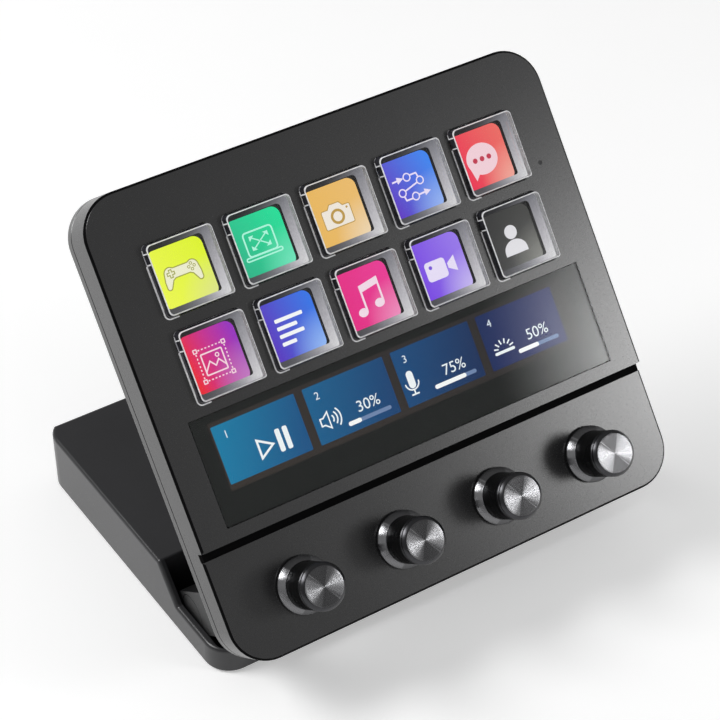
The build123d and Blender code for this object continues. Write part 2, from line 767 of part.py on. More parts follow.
def make_base_shell():
    top = base_under + base_height
    shell = base_plan(0, base_under, top + overcut) & base_side_profile(0)
    rim_low = base_under + low_wall_height - base_edge_round / 2
    rim = [e for e in shell.edges() if e.center().Z > rim_low and not is_upright(e)]
    shell = fillet(rim, base_edge_round)
    tray = base_plan(base_wall, base_under + tray_floor, top + overcut, tray_corner)
    shell -= tray & block_between(-base_depth, block_front_y, base_under, top + overcut)
    hollow = base_plan(base_wall, base_under - overcut, top - base_wall) & base_side_profile(base_wall)
    shell -= hollow & block_between(block_wall_y, base_depth, base_under - overcut, top)
    mouth = base_plan(base_wall, base_under - overcut, base_under + overcut)
    shell -= mouth & block_between(block_wall_y, base_depth, base_under - overcut, base_under + overcut)
    for x, y in base_screw_places():
        shell += rod(base_boss_radius, base_under + bottom_plate_thickness, top - base_wall / 2, x, y)
        shell -= rod(screw_radius + screw_hole_clearance / 2, base_under, top - 2 * base_wall, x, y)
    for x, y in hinge_bracket_screw_places():
        shell -= rod(screw_radius + screw_hole_clearance / 2, base_under, base_under + tray_floor, x, y)
    return shell


def is_upright(edge):
    """True for an edge that runs mostly along Z."""
    direction = edge.tangent_at(0.5)
    return abs(direction.Z) > 0.9


def make_bottom_plate():
    gap = bottom_plate_clearance
    plate = base_plan(base_wall + gap, base_under, base_under + bottom_plate_thickness)
    plate &= block_between(block_wall_y + gap, base_depth, base_under, base_under + bottom_plate_thickness)
    plate &= base_side_profile(base_wall + gap)
    for x, y in base_screw_places():
        plate -= rod(screw_radius + screw_hole_clearance, base_under, base_under + bottom_plate_thickness,
                     x, y)
        plate -= rod(screw_head_radius + screw_pocket_clearance, base_under,
                     base_under + screw_head_height, x, y)
    return plate


def make_base_screws():
    reach = bottom_plate_thickness - screw_head_height + base_screw_grip
    return group(Pos(x, y, 0) * recessed_screw(base_under, reach) for x, y in base_screw_places())


def make_ballast():
    low = base_under + bottom_plate_thickness
    front = block_wall_y + ballast_front_gap
    rear = base_depth / 2 - base_wall - ballast_rear_gap
    return slab(base_front_width - 2 * ballast_side_margin, rear - front, low, low + ballast_thickness,
                ballast_corner, v=(front + rear) / 2)


def make_rest_pad():
    return slab(base_front_width - 2 * pad_side_margin, base_depth - 2 * pad_end_margin, 0, pad_thickness,
                pad_corner)


# ---------------------------------------------------------------- hinge, left side at x < 0
def make_hinge_arm():
    """The left arm in the panel's frame, with a foot on the rear cover."""
    n_axis = -hinge_behind_face
    tip = n_axis - arm_half_height
    low, high = hinge_up_panel - arm_half_height, hinge_up_panel + arm_half_height
    blade = profile_along_x([(low, rear_face), (low, tip), (high, tip), (high, rear_face)],
                            -arm_outer_x, -arm_inner_x)
    ends = [e for e in blade.edges().filter_by(Axis.X) if e.center().Z < n_axis]
    lower = [e for e in ends if e.center().Y < hinge_up_panel]
    blade = fillet(lower, arm_half_height - arm_lower_corner_flat)
    ends = [e for e in blade.edges().filter_by(Axis.X) if e.center().Z < n_axis]
    blade = fillet([max(ends, key=lambda e: e.center().Y)], arm_upper_corner)
    foot = slab(arm_foot_length, 2 * arm_foot_half_height, rear_face - arm_foot_thickness, rear_face,
                arm_foot_corner, -arm_outer_x + arm_foot_length / 2, hinge_up_panel)
    arm = blade + foot
    arm -= cross_rod(pin_radius + pin_clearance, -arm_outer_x - overcut, -arm_inner_x + overcut,
                     hinge_up_panel, n_axis)
    arm -= cross_rod(pin_head_radius + pin_head_clearance, -arm_outer_x - overcut,
                     -arm_outer_x + pin_head_height + pin_head_recess, hinge_up_panel, n_axis)
    for u, v in arm_screw_places():
        if u < 0:
            arm -= rod(screw_radius + screw_hole_clearance, rear_face - arm_foot_thickness, rear_face, u, v)
    return arm


def make_arm_screws():
    low = rear_face - arm_foot_thickness - screw_head_height
    reach = arm_foot_thickness + wall
    return group(Pos(u, v, 0) * recessed_screw(low, reach) for u, v in arm_screw_places())


def make_hinge_pin():
    """The left pin, fixed in the base's bracket, with its head let into the arm."""
    nut_end = bracket_inner_x - hinge_nut_thickness - pin_end
    head = cross_rod(pin_head_radius, -arm_outer_x, -arm_outer_x + pin_head_height, hinge_y, hinge_z)
    return head + cross_rod(pin_radius, -arm_outer_x + pin_head_height, -nut_end, hinge_y, hinge_z)


def make_hinge_bracket():
    """The left bracket, on the tray's floor beside the arm."""
    floor = base_under + tray_floor
    top = hinge_z + hinge_bracket_top
    plate = Pos(-(bracket_outer_x + bracket_inner_x) / 2, hinge_y, floor) * extrude(
        Rectangle(hinge_bracket_thickness, 2 * hinge_bracket_half_depth), top - floor)
    upper = [e for e in plate.edges().filter_by(Axis.X) if e.center().Z > hinge_z]
    plate = fillet(upper, hinge_bracket_round)
    plate += Pos(-bracket_outer_x + hinge_bracket_foot / 2, hinge_y, floor) * extrude(
        Rectangle(hinge_bracket_foot, 2 * hinge_bracket_half_depth), hinge_bracket_foot_thickness)
    plate -= cross_rod(pin_radius, -bracket_outer_x - overcut, -bracket_inner_x + overcut, hinge_y, hinge_z)
    for x, y in hinge_bracket_screw_places():
        if x < 0:
            plate -= rod(screw_radius + screw_hole_clearance, floor, floor + hinge_bracket_foot_thickness,
                         x, y)
    return plate


def make_hinge_bracket_screws():
    head = base_under + tray_floor + hinge_bracket_foot_thickness
    reach = hinge_bracket_foot_thickness + tray_floor - hinge_bracket_screw_gap
    return group(Pos(x, y, 0) * recessed_screw(head, reach, False) for x, y in hinge_bracket_screw_places())


def make_friction_washers():
    pieces = []
    for s in (-1, 1):
        start, end = sorted((s * bracket_outer_x, s * (bracket_outer_x + washer_thickness)))
        disc = cross_rod(washer_radius, start, end, hinge_y, hinge_z)
        pieces.append(disc - cross_rod(pin_radius, start, end, hinge_y, hinge_z))
    return group(pieces)


def make_hinge_nuts():
    pieces = []
    for s in (-1, 1):
        start = min(s * bracket_inner_x, s * (bracket_inner_x - hinge_nut_thickness))
        prism = hexagon(hinge_nut_across_flats, 0, hinge_nut_thickness)
        nut = Pos(start, hinge_y, hinge_z) * Rot(0, 90, 0) * prism
        pieces.append(nut - cross_rod(pin_radius, start, start + hinge_nut_thickness, hinge_y, hinge_z))
    return group(pieces)


def mirrored(shape):
    """The right-hand twin of a left-hand piece."""
    return mirror(shape, Plane.YZ)


# ---------------------------------------------------------------- write every node
def write_panel():
    write("front_cover", make_front_cover(), True)
    write("rear_cover", make_rear_cover(), True)
    write("cover_screws", make_cover_screws(), True)
    write("touch_glass", make_glass(), True)
    write("strip_display", make_strip_display(), True)
    write("status_light", make_status_light(), True)
    write("key_frame", make_key_frame(), True)
    write("key_membrane", make_key_membrane(), True)
    write("key_display", make_key_display(), True)
    write("display_bracket", make_display_bracket(), True)
    write("display_bracket_screws", make_bracket_screws(), True)
    write("main_board", make_main_board(), True)
    write("main_board_screws", make_board_screws(), True)
    write("board_chips", make_board_chips(), True)
    write("usb_socket", make_usb_socket(), True)
    write("encoder_board", make_encoder_board(), True)
    write("encoder_nuts", make_encoder_nuts(), True)
    write("ribbon_cables", make_ribbon_cables(), True)


def write_keys():
    key = make_key()
    for number, (u, v) in enumerate(key_places(), 1):
        write(f"key_{number:02d}", Pos(u, v, 0) * key, True)


def write_knobs():
    pieces = {"encoder_body": make_encoder_body(), "encoder_plunger": make_encoder_plunger(),
              "encoder_shaft": make_encoder_shaft(), "knob": make_knob()}
    for number, (u, v) in enumerate(knob_places(), 1):
        for name, shape in pieces.items():
            write(f"{name}_{number}", Pos(u, v, 0) * shape, True)


def write_hinge():
    arm, pin, bracket = make_hinge_arm(), make_hinge_pin(), make_hinge_bracket()
    write("hinge_arm_left", arm, True)
    write("hinge_arm_right", mirrored(arm), True)
    write("hinge_arm_screws", make_arm_screws(), True)
    write("hinge_pin_left", pin)
    write("hinge_pin_right", mirrored(pin))
    write("hinge_bracket_left", bracket)
    write("hinge_bracket_right", mirrored(bracket))
    write("hinge_bracket_screws", make_hinge_bracket_screws())
    write("friction_washers", make_friction_washers())
    write("hinge_nuts", make_hinge_nuts())


def write_base():
    write("base_shell", make_base_shell())
    write("bottom_plate", make_bottom_plate())
    write("base_screws", make_base_screws())
    write("ballast", make_ballast())
    write("rest_pad", make_rest_pad())


os.makedirs("parts", exist_ok=True)
write_panel()
write_keys()
write_knobs()
write_hinge()
write_base()
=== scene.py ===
import json
import math

import bmesh
import bpy
from mathutils import Matrix, Vector


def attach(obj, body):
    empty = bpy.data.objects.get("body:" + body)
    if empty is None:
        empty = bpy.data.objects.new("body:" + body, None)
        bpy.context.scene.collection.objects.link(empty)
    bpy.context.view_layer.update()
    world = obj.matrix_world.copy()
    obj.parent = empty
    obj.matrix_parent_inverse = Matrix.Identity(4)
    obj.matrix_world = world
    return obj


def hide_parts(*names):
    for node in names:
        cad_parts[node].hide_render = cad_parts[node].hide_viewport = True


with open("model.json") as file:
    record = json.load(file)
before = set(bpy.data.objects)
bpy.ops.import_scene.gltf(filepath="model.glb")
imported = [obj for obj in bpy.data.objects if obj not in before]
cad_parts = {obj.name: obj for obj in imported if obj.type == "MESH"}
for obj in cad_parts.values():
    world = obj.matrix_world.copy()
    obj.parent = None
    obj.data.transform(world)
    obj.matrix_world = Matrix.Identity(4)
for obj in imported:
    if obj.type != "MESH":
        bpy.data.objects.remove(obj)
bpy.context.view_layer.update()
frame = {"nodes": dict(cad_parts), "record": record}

MM = 0.001

# ---------------------------------------------------------------- sizes, in millimetres
PANEL_TILT = 50.0           # degrees from flat
HINGE_UP_PANEL = 13.5
HINGE_BEHIND_FACE = 42.0
PANEL_WIDTH = 144.0
PANEL_HEIGHT = 131.6
FASCIA_FACE = -2.1
FASCIA_HEIGHT = 31.8
GROOVE_TOP = 34.3           # where the upper face starts, above the groove
GROOVE_FLOOR = -3.4
PANEL_CORNER = 11.5
FACE_BEVEL = 0.7

KEY_PITCH_ACROSS = 24.0
KEY_PITCH_DOWN = 24.1
KEY_TOP_ROW_V = 105.4
KEY_COLUMNS = 5
KEY_ROWS = 2
KEY_SIZE = 20.3
KEY_CORNERS = (1.3, 1.3, 1.2, 0.7)      # plan radii, from the upper right round
KEY_TOP = 2.4
KEY_TOP_SIZE = 19.0
KEY_BEVEL = 0.3
KEY_SKIRT_TOP = -0.9        # where the clear side ends and the frosted skirt starts
KEY_LEDGE = 0.6
KEY_FOOT = -5.0
KEY_FOOT_SIZE = 16.3
KEY_FLANGE_SIZE = 22.6
KEY_FLANGE_LEVELS = (-3.55, -2.05)
KEY_FLANGE_HOLE = 18.1
KEY_WALL_FOOT = 0.05        # just over the cover's face
KEY_CLEAR_SIDE = 1.2        # how much of the cap's right side stays clear above the cover
RIB_PROUD = 0.06            # how far the two ribs on a cap's left wall stand in and out of it
RIDGE_WIDTH = 0.36          # the low ridges beside a key, on the cover's face
RIDGE_HEIGHT = 0.16
RIDGE_GAP = 0.13            # from the cap's side to the path of a ridge
RIDGE_NOTCH = (4.6, 7.6)    # gap in the ridge, from the key's centre up its left side
KEY_IMAGE_WIDTH = 15.6      # lit area under each key
KEY_IMAGE_HEIGHT = 16.9
KEY_IMAGE_DROP = 0.55       # from the key's centre down the slope
KEY_IMAGE_ASIDE = 0.05      # from the key's centre to the right
KEY_IMAGE_CORNERS = (2.6, 1.3, 1.4, 2.2)
KEY_ICON_DROP = 0.8
KEY_ICON_ASIDE = -0.39
KEY_IMAGE_LEVEL = -6.16

GLASS_WIDTH = 125.7
GLASS_LOW = 38.1
GLASS_HIGH = 67.9
GLASS_BACK = -0.9
GLASS_CORNER = 0.35
GLASS_BEVEL = 0.04
LAYER = 0.02                # thickness of a printed or lit layer
PRINT_BACK = -1.06
PRINT_LAYERS = 7            # layer thicknesses from the glass's back to the front of the black print
PRINT_INSET = 0.05
PIXEL_ROWS = 96             # fine rows over a lit image
LIT_AREA = (-57.9, 56.9, 46.6, 65.6)    # left, right, low, high
TILE_PITCH = 28.1
TILE_WIDTH = 25.5
TILE_LEFT = -57.4
TILE_LOW = 48.3
TILE_HIGH = 64.4
ICON_DROP = 2.35            # from the tile's centre down, as the other two drops
NUMBER_DROP = 2.3
NUMBER_ASIDE = 4.3          # from the tile's centre to the right
NUMBER_SIZE = 4.4
BAR_DROP = 5.65
BAR_START = -3.2            # from the tile's centre across
BAR_END_MARGIN = 2.3        # from the tile's right edge
BAR_THICK = (1.1, 1.2)      # the track and the bar on it
LABEL_INSETS = (3.6, 3.2)   # from the tile's left and upper edges
LABEL_SIZE = 3.0

KNOB_COUNT = 4
KNOB_SIDE_MARGIN = 24.5
KNOB_PITCH = (PANEL_WIDTH - 2 * KNOB_SIDE_MARGIN) / (KNOB_COUNT - 1)
KNOB_CENTRE_V = 15.5
KNOB_BOTTOM = -1.3
KNOB_HEIGHT = 13.3
KNOB_RADIUS = 6.6
KNOB_FLANGE_RADIUS = 8.1
KNOB_FOOT_RADIUS = 6.1
KNOB_DISC_RADIUS = 5.7      # bright turned disc within the dark chamfered rim
KNOB_TOP = KNOB_BOTTOM + KNOB_HEIGHT
KNOB_RIM = KNOB_BOTTOM + 0.5    # top of the flange's straight side
KNOB_NECK = KNOB_RIM + 1.6      # where the flange's slope meets the grip
GRIP_LOW = KNOB_NECK + 0.15
GRIP_HIGH = KNOB_TOP - 2.1
KNURL_ROWS = 22
KNURL_TEETH = 60
KNURL_DEPTH = 0.16
# The fans on the turned disc are painted highlight and shade in its colour.
PAINTED_FAN_START = 59.0          # where the turned disc's fans start, in degrees from the panel's own right

# The camera: its place, its two angles in degrees, and its lens for a square picture.
CAMERA_PLACE = (-259.4, -426.6, 492.3)
CAMERA_AZIMUTH = -32.13
CAMERA_ELEVATION = 41.58
FOCAL_SHARE = 2304.4 / 720.0    # focal length over the picture's width
SENSOR = 36.0

# Lights and floor, in metres and watts. The panel's right side mirrors the right lamp.
RIGHT_LAMP = (0.490, -0.560, 0.332)
RIGHT_LAMP_AIM = (0.490, 0.206, -0.311)     # straight at the panel's plane
RIGHT_LAMP_SIZE = (0.36, 0.27)
RIGHT_LAMP_POWER = 4.4
RIGHT_LAMP_EDGE = 0.85
LEFT_LAMP = (-0.75, 0.35, 0.85)
LEFT_LAMP_AIM = (0.0, 0.0, 0.05)
LEFT_LAMP_SIZE = (0.7, 0.5)
LEFT_LAMP_POWER = 13.0
LEFT_LAMP_EDGE = 0.5
WORLD_LEVEL = 0.33
FLOOR_GLOW = 0.3            # lifts the floor to white where it is seen, mirrored or seen through
FLOOR_REACH = 30.0


def panel_matrix():
    """From the panel's own frame (across, up its slope, out of its face) in mm to the world in metres."""
    joints = {joint["name"]: joint for joint in frame["record"]["behaviour"]["joints"]}
    hinge = Vector(joints["panel_tilt"]["pos_m"])
    turn = Matrix.Rotation(math.radians(PANEL_TILT), 4, "X")
    foot = hinge - turn @ Vector((0, HINGE_UP_PANEL * MM, -HINGE_BEHIND_FACE * MM))
    return Matrix.Translation(foot) @ turn @ Matrix.Scale(MM, 4)


PANEL = panel_matrix()


# ---------------------------------------------------------------- material helpers
def linear(value):
    """One sRGB channel, 0 to 255, as a linear share."""
    share = value / 255.0
    return share / 12.92 if share <= 0.04045 else ((share + 0.055) / 1.055) ** 2.4


def rgb(hex_text):
    """A #rrggbb colour as a linear colour with alpha."""
    text = hex_text.lstrip("#")
    return tuple(linear(int(text[i:i + 2], 16)) for i in (0, 2, 4)) + (1.0,)


class NodeTree:
    """Short calls for the nodes of one tree, a lamp's or a material's."""

    def __init__(self, tree):
        self.tree = tree

    def add(self, kind, **settings):
        node = self.tree.nodes.new(kind)
        for key, value in settings.items():
            setattr(node, key, value)
        return node

    def link(self, source, target):
        self.tree.links.new(source, target)

    def axes(self, vector):
        """The X and Y of a vector."""
        split = self.add("ShaderNodeSeparateXYZ")
        self.link(vector, split.inputs[0])
        return split.outputs["X"], split.outputs["Y"]

    def between(self, source, low, high, from_low=0.0, from_high=1.0, curve="LINEAR"):
        node = self.add("ShaderNodeMapRange", interpolation_type=curve)
        ends = {"From Min": from_low, "From Max": from_high, "To Min": low, "To Max": high}
        for name, number in ends.items():
            node.inputs[name].default_value = number
        self.link(source, node.inputs["Value"])
        return node.outputs["Result"]

    def math(self, operation, a, b=None):
        node = self.add("ShaderNodeMath", operation=operation)
        for socket, item in zip(node.inputs, (a, b)):
            if isinstance(item, (int, float)):
                socket.default_value = item
            elif item is not None:
                self.link(item, socket)
        return node.outputs[0]


class Paint(NodeTree):
    """A material with one shader, and short calls for what feeds it."""

    def __init__(self, name):
        self.material = bpy.data.materials.new(name)
        self.material.use_nodes = True
        super().__init__(self.material.node_tree)
        self.tree.nodes.clear()
        output = self.add("ShaderNodeOutputMaterial")
        self.shader = self.add("ShaderNodeBsdfPrincipled")
        self.link(self.shader.outputs[0], output.inputs["Surface"])

    def value(self, socket, value):
        self.shader.inputs[socket].default_value = value

    def feed(self, socket, source):
        self.link(source, self.shader.inputs[socket])

    def coordinates(self, kind="Object"):
        if not hasattr(self, "coordinate_node"):
            self.coordinate_node = self.add("ShaderNodeTexCoord")
        return self.coordinate_node.outputs[kind]

    def map_axes(self, name):
        """The X and Y of one of the mesh's maps."""
        return self.axes(self.add("ShaderNodeUVMap", uv_map=name).outputs[0])

    def noise(self, scale, detail=2.0, roughness=0.5):
        node = self.add("ShaderNodeTexNoise")
        for name, number in (("Scale", scale), ("Detail", detail), ("Roughness", roughness)):
            node.inputs[name].default_value = number
        self.link(self.coordinates(), node.inputs["Vector"])
        return node.outputs["Fac"]

    def ramp(self, source, stops):
        node = self.add("ShaderNodeValToRGB")
        elements = node.color_ramp.elements
        while len(elements) < len(stops):
            elements.new(0.5)
        for element, (place, colour) in zip(elements, stops):
            element.position = place
            element.color = colour
        self.link(source, node.inputs["Fac"])
        return node.outputs["Color"]

    def bump(self, height, distance):
        node = self.add("ShaderNodeBump")
        node.inputs["Distance"].default_value = distance
        self.link(height, node.inputs["Height"])
        return node.outputs["Normal"]


def shade(colour, factor):
    return tuple(min(1.0, c * factor) for c in colour[:3]) + (1.0,)


def moulded_plastic(name, colour, roughness, grain=2600.0, relief=0.000012, coat=False):
    """Fine-grained matte moulding with slow changes of tone and gloss.

    A coat is a satin lacquer on the faces that look out of the panel."""
    paint = Paint(name)
    spread = 0.12
    fine = paint.noise(grain, 3.0, 0.6)
    broad = paint.noise(38.0, 3.0, 0.55)
    tone = paint.ramp(broad, [(0.3, shade(colour, 1 - spread)), (0.7, shade(colour, 1 + spread))])
    paint.feed("Base Color", tone)
    paint.feed("Roughness", paint.between(fine, roughness - 0.06, roughness + 0.06))
    paint.feed("Normal", paint.bump(fine, relief))
    if coat:
        outward = paint.add("ShaderNodeVectorMath", operation="DOT_PRODUCT")
        paint.link(paint.coordinates("Normal"), outward.inputs[0])
        outward.inputs[1].default_value = PANEL.to_3x3().col[2].normalized()
        paint.feed("Coat Weight", paint.between(outward.outputs["Value"], 0.0, 1.0, 0.5, 0.9))
        paint.value("IOR", 1.5)
        paint.value("Coat Roughness", roughness)
        paint.value("Coat IOR", 1.5)
    return paint.material


def matt_black(name, colour):
    """A dull black without gloss, for printed ink and for painted shade in the groove and along the bevels.
    """
    paint = Paint(name)
    grain = paint.noise(1400.0, 3.0, 0.6)
    tone = paint.ramp(grain, [(0.3, shade(colour, 0.9)), (0.7, shade(colour, 1.1))])
    paint.feed("Base Color", tone)
    paint.value("Roughness", 0.8)
    paint.value("Specular IOR Level", 0.05)
    return paint.material


def metal(name, colour, roughness):
    """Plain worked metal with a fine tooth and faint smears of gloss."""
    paint = Paint(name)
    relief = 0.000006
    fine = paint.noise(900.0, 4.0, 0.65)
    broad = paint.noise(120.0, 2.0)
    tone = paint.ramp(broad, [(0.3, shade(colour, 0.86)), (0.7, shade(colour, 1.1))])
    paint.feed("Base Color", tone)
    paint.value("Metallic", 1.0)
    paint.feed("Roughness", paint.between(broad, roughness - 0.05, roughness + 0.08))
    paint.feed("Normal", paint.bump(fine, relief))
    return paint.material


def turned_metal_painted_fans(name, colour, roughness):
    """Lathe-turned metal: fine rings, and two fans of painted highlight with painted darker sectors between,
    read from the piece's own turning map.
    """
    paint = Paint(name)
    ring, relief = 0.16, 0.000004
    turns, length = paint.map_axes("turning")
    wave = paint.math("SINE", paint.math("MULTIPLY", length, 2 * math.pi / ring))
    half_turns = paint.math("MULTIPLY", turns, 2.0)
    start = PAINTED_FAN_START / 180.0 + 2.0       # in half turns too, and never below what is taken from it
    share = paint.math("FRACT", paint.math("SUBTRACT", start, half_turns))
    # painted highlight and shade: levels of the colour round the disc, in shares of a half turn
    stops = ((0.0, 0.75), (0.25, 0.8), (0.36, 1.25), (0.45, 1.6), (0.53, 1.6), (0.58, 1.1), (0.62, 0.6),
             (0.645, 1.3), (0.66, 0.5), (0.985, 0.45), (1.0, 0.75))
    tone = paint.ramp(share, [(place, shade(colour, level)) for place, level in stops])
    paint.feed("Base Color", tone)
    paint.value("Metallic", 1.0)
    paint.value("Roughness", roughness)
    paint.value("Anisotropic", 1.0)
    paint.value("Anisotropic Rotation", 0.25)
    tangent = paint.add("ShaderNodeTangent", direction_type="UV_MAP", uv_map="turning")
    paint.feed("Tangent", tangent.outputs[0])
    paint.feed("Normal", paint.bump(wave, relief))
    return paint.material


def clear_acrylic(name):
    """Polished clear acrylic with faint smears."""
    paint = Paint(name)
    paint.value("Base Color", (0.975, 0.985, 0.99, 1.0))
    paint.value("Transmission Weight", 1.0)
    paint.value("IOR", 1.49)
    smear = paint.noise(160.0, 3.0)
    paint.feed("Roughness", paint.between(smear, 0.0, 0.05))
    return paint.material


def frosted_edge_painted_highlight(name):
    """Frosted acrylic edges: a pale tone, partly the frost and partly painted highlight, and a faint painted
    glow, so they show as thin pale lines.
    """
    paint = Paint(name)
    wear = paint.noise(900.0, 3.0, 0.6)
    tone = paint.ramp(wear, [(0.3, rgb("#d2d2d6")), (0.7, rgb("#fafafa"))])
    paint.feed("Base Color", tone)
    paint.value("Roughness", 0.32)
    paint.value("Transmission Weight", 0.1)
    # painted highlight: the edges glow faintly in their own tone
    paint.feed("Emission Color", tone)
    paint.value("Emission Strength", 0.12)
    paint.feed("Normal", paint.bump(wear, 0.00002))
    return paint.material


def frosted_skirt_painted_light(name):
    """The frosted walls under a clear cap, with painted light: a glow palest at the lower right and darkest
    up and to the left.
    """
    paint = Paint(name)
    across, up = paint.map_axes("image")
    low = paint.between(up, 1.0, 0.22)
    right = paint.math("MULTIPLY", paint.math("POWER", paint.math("MAXIMUM", across, 0.0), 3.0), low)
    foot = paint.math("MULTIPLY", paint.between(up, 0.16, 0.0, 0.0, 0.35), paint.between(across, 0.5, 1.0))
    glow = paint.math("ADD", right, foot)
    streaks = paint.noise(1500.0, 3.0, 0.6)
    level = paint.math("MULTIPLY", glow, paint.between(streaks, 0.6, 1.2))
    tone = paint.ramp(level, [(0.0, rgb("#151518")), (0.22, rgb("#808086")), (0.55, rgb("#bcbabf")),
                              (1.0, rgb("#e2e2e2"))])
    # painted light: the glow stands in for light falling on the walls from the lower right
    paint.feed("Emission Color", tone)
    paint.value("Emission Strength", 0.95)
    paint.value("Base Color", (0.02, 0.02, 0.021, 1.0))
    paint.value("Roughness", 0.8)
    paint.value("Specular IOR Level", 0.1)
    return paint.material


def wall_painted_reflection(name):
    """The cap's side above the cover, opaque and dark: a painted reflection of the dark inside of its
    opening.
    """
    paint = Paint(name)
    streaks = paint.noise(700.0, 3.0, 0.6)
    tone = paint.ramp(streaks, [(0.3, rgb("#17171a")), (0.75, rgb("#3c3c42"))])
    paint.feed("Base Color", tone)
    paint.value("Roughness", 0.12)
    paint.value("Specular IOR Level", 0.4)
    return paint.material


def strip_glass(name):
    """Cover glass with an anti-glare finish."""
    paint = Paint(name)
    paint.value("Base Color", (0.96, 0.98, 0.97, 1.0))
    paint.value("Transmission Weight", 1.0)
    paint.value("IOR", 1.39)
    smear = paint.noise(90.0, 3.0)
    paint.feed("Roughness", paint.between(smear, 0.01, 0.04))
    return paint.material


def lit_image(name, left, right, glow=None, angle=20.0):
    """A lit image: a gradient over the piece's own map, a paler lower right corner and fine pixel rows."""
    paint = Paint(name)
    across, up = paint.map_axes("image")
    cosine, sine = math.cos(math.radians(angle)), math.sin(math.radians(angle))
    slant = paint.math("ADD", paint.math("MULTIPLY", across, cosine), paint.math("MULTIPLY", up, sine))
    place = paint.between(slant, 0.0, 1.0, min(0.0, sine), cosine + max(0.0, sine))
    tone = paint.ramp(place, [(0.08, left), (0.92, right)])
    if glow is not None:
        corner = (1.05, -0.05)
        ways = [paint.math("SUBTRACT", axis, end) for axis, end in zip((across, up), corner)]
        squares = [paint.math("MULTIPLY", way, way) for way in ways]
        distance = paint.math("SQRT", paint.math("ADD", *squares))
        blend = paint.add("ShaderNodeMix", data_type="RGBA")
        paint.link(paint.between(distance, 0.85, 0.0, 0.08, 0.75), blend.inputs["Factor"])
        paint.link(tone, blend.inputs["A"])
        blend.inputs["B"].default_value = glow
        tone = blend.outputs["Result"]
    rows = paint.math("SINE", paint.math("MULTIPLY", up, 2 * math.pi * PIXEL_ROWS))
    fine = paint.add("ShaderNodeVectorMath", operation="SCALE")
    paint.link(tone, fine.inputs[0])
    paint.link(paint.between(rows, 0.97, 1.0, -1.0, 1.0), fine.inputs["Scale"])
    return lit(paint, fine.outputs[0], 0.4)


def lit(paint, tone, roughness):
    """Makes a material give off its tone and mirror nothing."""
    paint.feed("Emission Color", tone)
    paint.value("Emission Strength", 1.0)
    paint.value("Base Color", (0.01, 0.01, 0.01, 1.0))
    paint.value("Roughness", roughness)
    paint.value("Specular IOR Level", 0.0)
    return paint.material


def lit_ink(name, colour):
    """A lit mark of one colour with the display's faint mottle."""
    paint = Paint(name)
    grain = paint.noise(5000.0, 1.0)
    return lit(paint, paint.ramp(grain, [(0.0, shade(colour, 0.93)), (1.0, colour)]), 0.5)


def dress(node, material):
    mesh = frame["nodes"][node].data
    mesh.materials.clear()
    mesh.materials.append(material)


# ---------------------------------------------------------------- mesh helpers
def new_object(name, mesh):
    piece = bpy.data.objects.new(name, mesh)
    bpy.context.scene.collection.objects.link(piece)
    return piece


def mesh_from(name, build):
    """A mesh made by a function that fills a bmesh."""
    work = bmesh.new()
    build(work)
    mesh = bpy.data.meshes.new(name)
    work.to_mesh(mesh)
    work.free()
    return mesh


def panel_piece(name, mesh, *materials, body="panel"):
    """Makes a piece of a mesh drawn in the panel's frame, moves it into its place and lets it ride."""
    for material in materials:
        mesh.materials.append(material)
    mesh.transform(PANEL)
    mesh.update()
    piece = new_object(name, mesh)
    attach(piece, body)
    return piece


def rounded_rectangle(width, height, corner, steps=6, centre=(0, 0)):
    """Outline points, counter-clockwise. corner is one radius, or four from the upper right round."""
    corners = corner if isinstance(corner, tuple) else (corner,) * 4
    points = []
    for quarter, ((sx, sy), radius) in enumerate(zip(((1, 1), (-1, 1), (-1, -1), (1, -1)), corners)):
        x = centre[0] + sx * (width / 2 - radius)
        y = centre[1] + sy * (height / 2 - radius)
        points += arc(x, y, radius, 90 * quarter, 90 * quarter + 90, steps)
    return points


def arc(x, y, radius, start, end, steps=12, squash=1.0):
    """Points along an arc between two angles in degrees. squash is its height over its width."""
    turns = [math.radians(start + (end - start) * i / steps) for i in range(steps + 1)]
    return [(x + radius * math.cos(t), y + radius * squash * math.sin(t)) for t in turns]


def bridge(work, lower, upper, slot=0):
    """The band of faces between two rings."""
    count = len(lower)
    for i in range(count):
        j = (i + 1) % count
        work.faces.new((lower[i], lower[j], upper[j], upper[i])).material_index = slot


def tube(work, rings, slot=0, closed=False):
    """A solid along a row of rings. Its two ends are shut, or joined where it closes on itself."""
    for lower, upper in zip(rings, rings[1:]):
        bridge(work, lower, upper, slot)
    if closed:
        bridge(work, rings[-1], rings[0], slot)
        return
    for end in (rings[0][::-1], rings[-1]):
        work.faces.new(end).material_index = slot


def ring_at(work, outline, level):
    """The corners of an outline at one level."""
    return [work.verts.new((x, y, level)) for x, y in outline]


def band_solid(work, rings, slots, foot_slot=0, top_slot=0):
    """A closed solid through outlines at rising levels. Each band and the two ends take a material slot."""
    loops = [ring_at(work, outline, level) for outline, level in rings]
    for lower, upper, slot in zip(loops, loops[1:], slots):
        bridge(work, lower, upper, slot)
    work.faces.new(loops[0][::-1]).material_index = foot_slot
    work.faces.new(loops[-1]).material_index = top_slot


def plate(work, outline, low, high):
    """A flat closed plate from an outline."""
    tube(work, [ring_at(work, outline, low), ring_at(work, outline, high)])


def plate_mesh(name, outline, low, high):
    """The mesh of a flat closed plate."""
    return mesh_from(name, lambda work: plate(work, outline, low, high))


def map_image(mesh, centre, width, height):
    """A map named image, 0 to 1 across and up the lit rectangle."""
    layer = mesh.uv_layers.new(name="image")
    for loop in mesh.loops:
        x, y, _ = mesh.vertices[loop.vertex_index].co
        layer.data[loop.index].uv = ((x - centre[0]) / width + 0.5, (y - centre[1]) / height + 0.5)


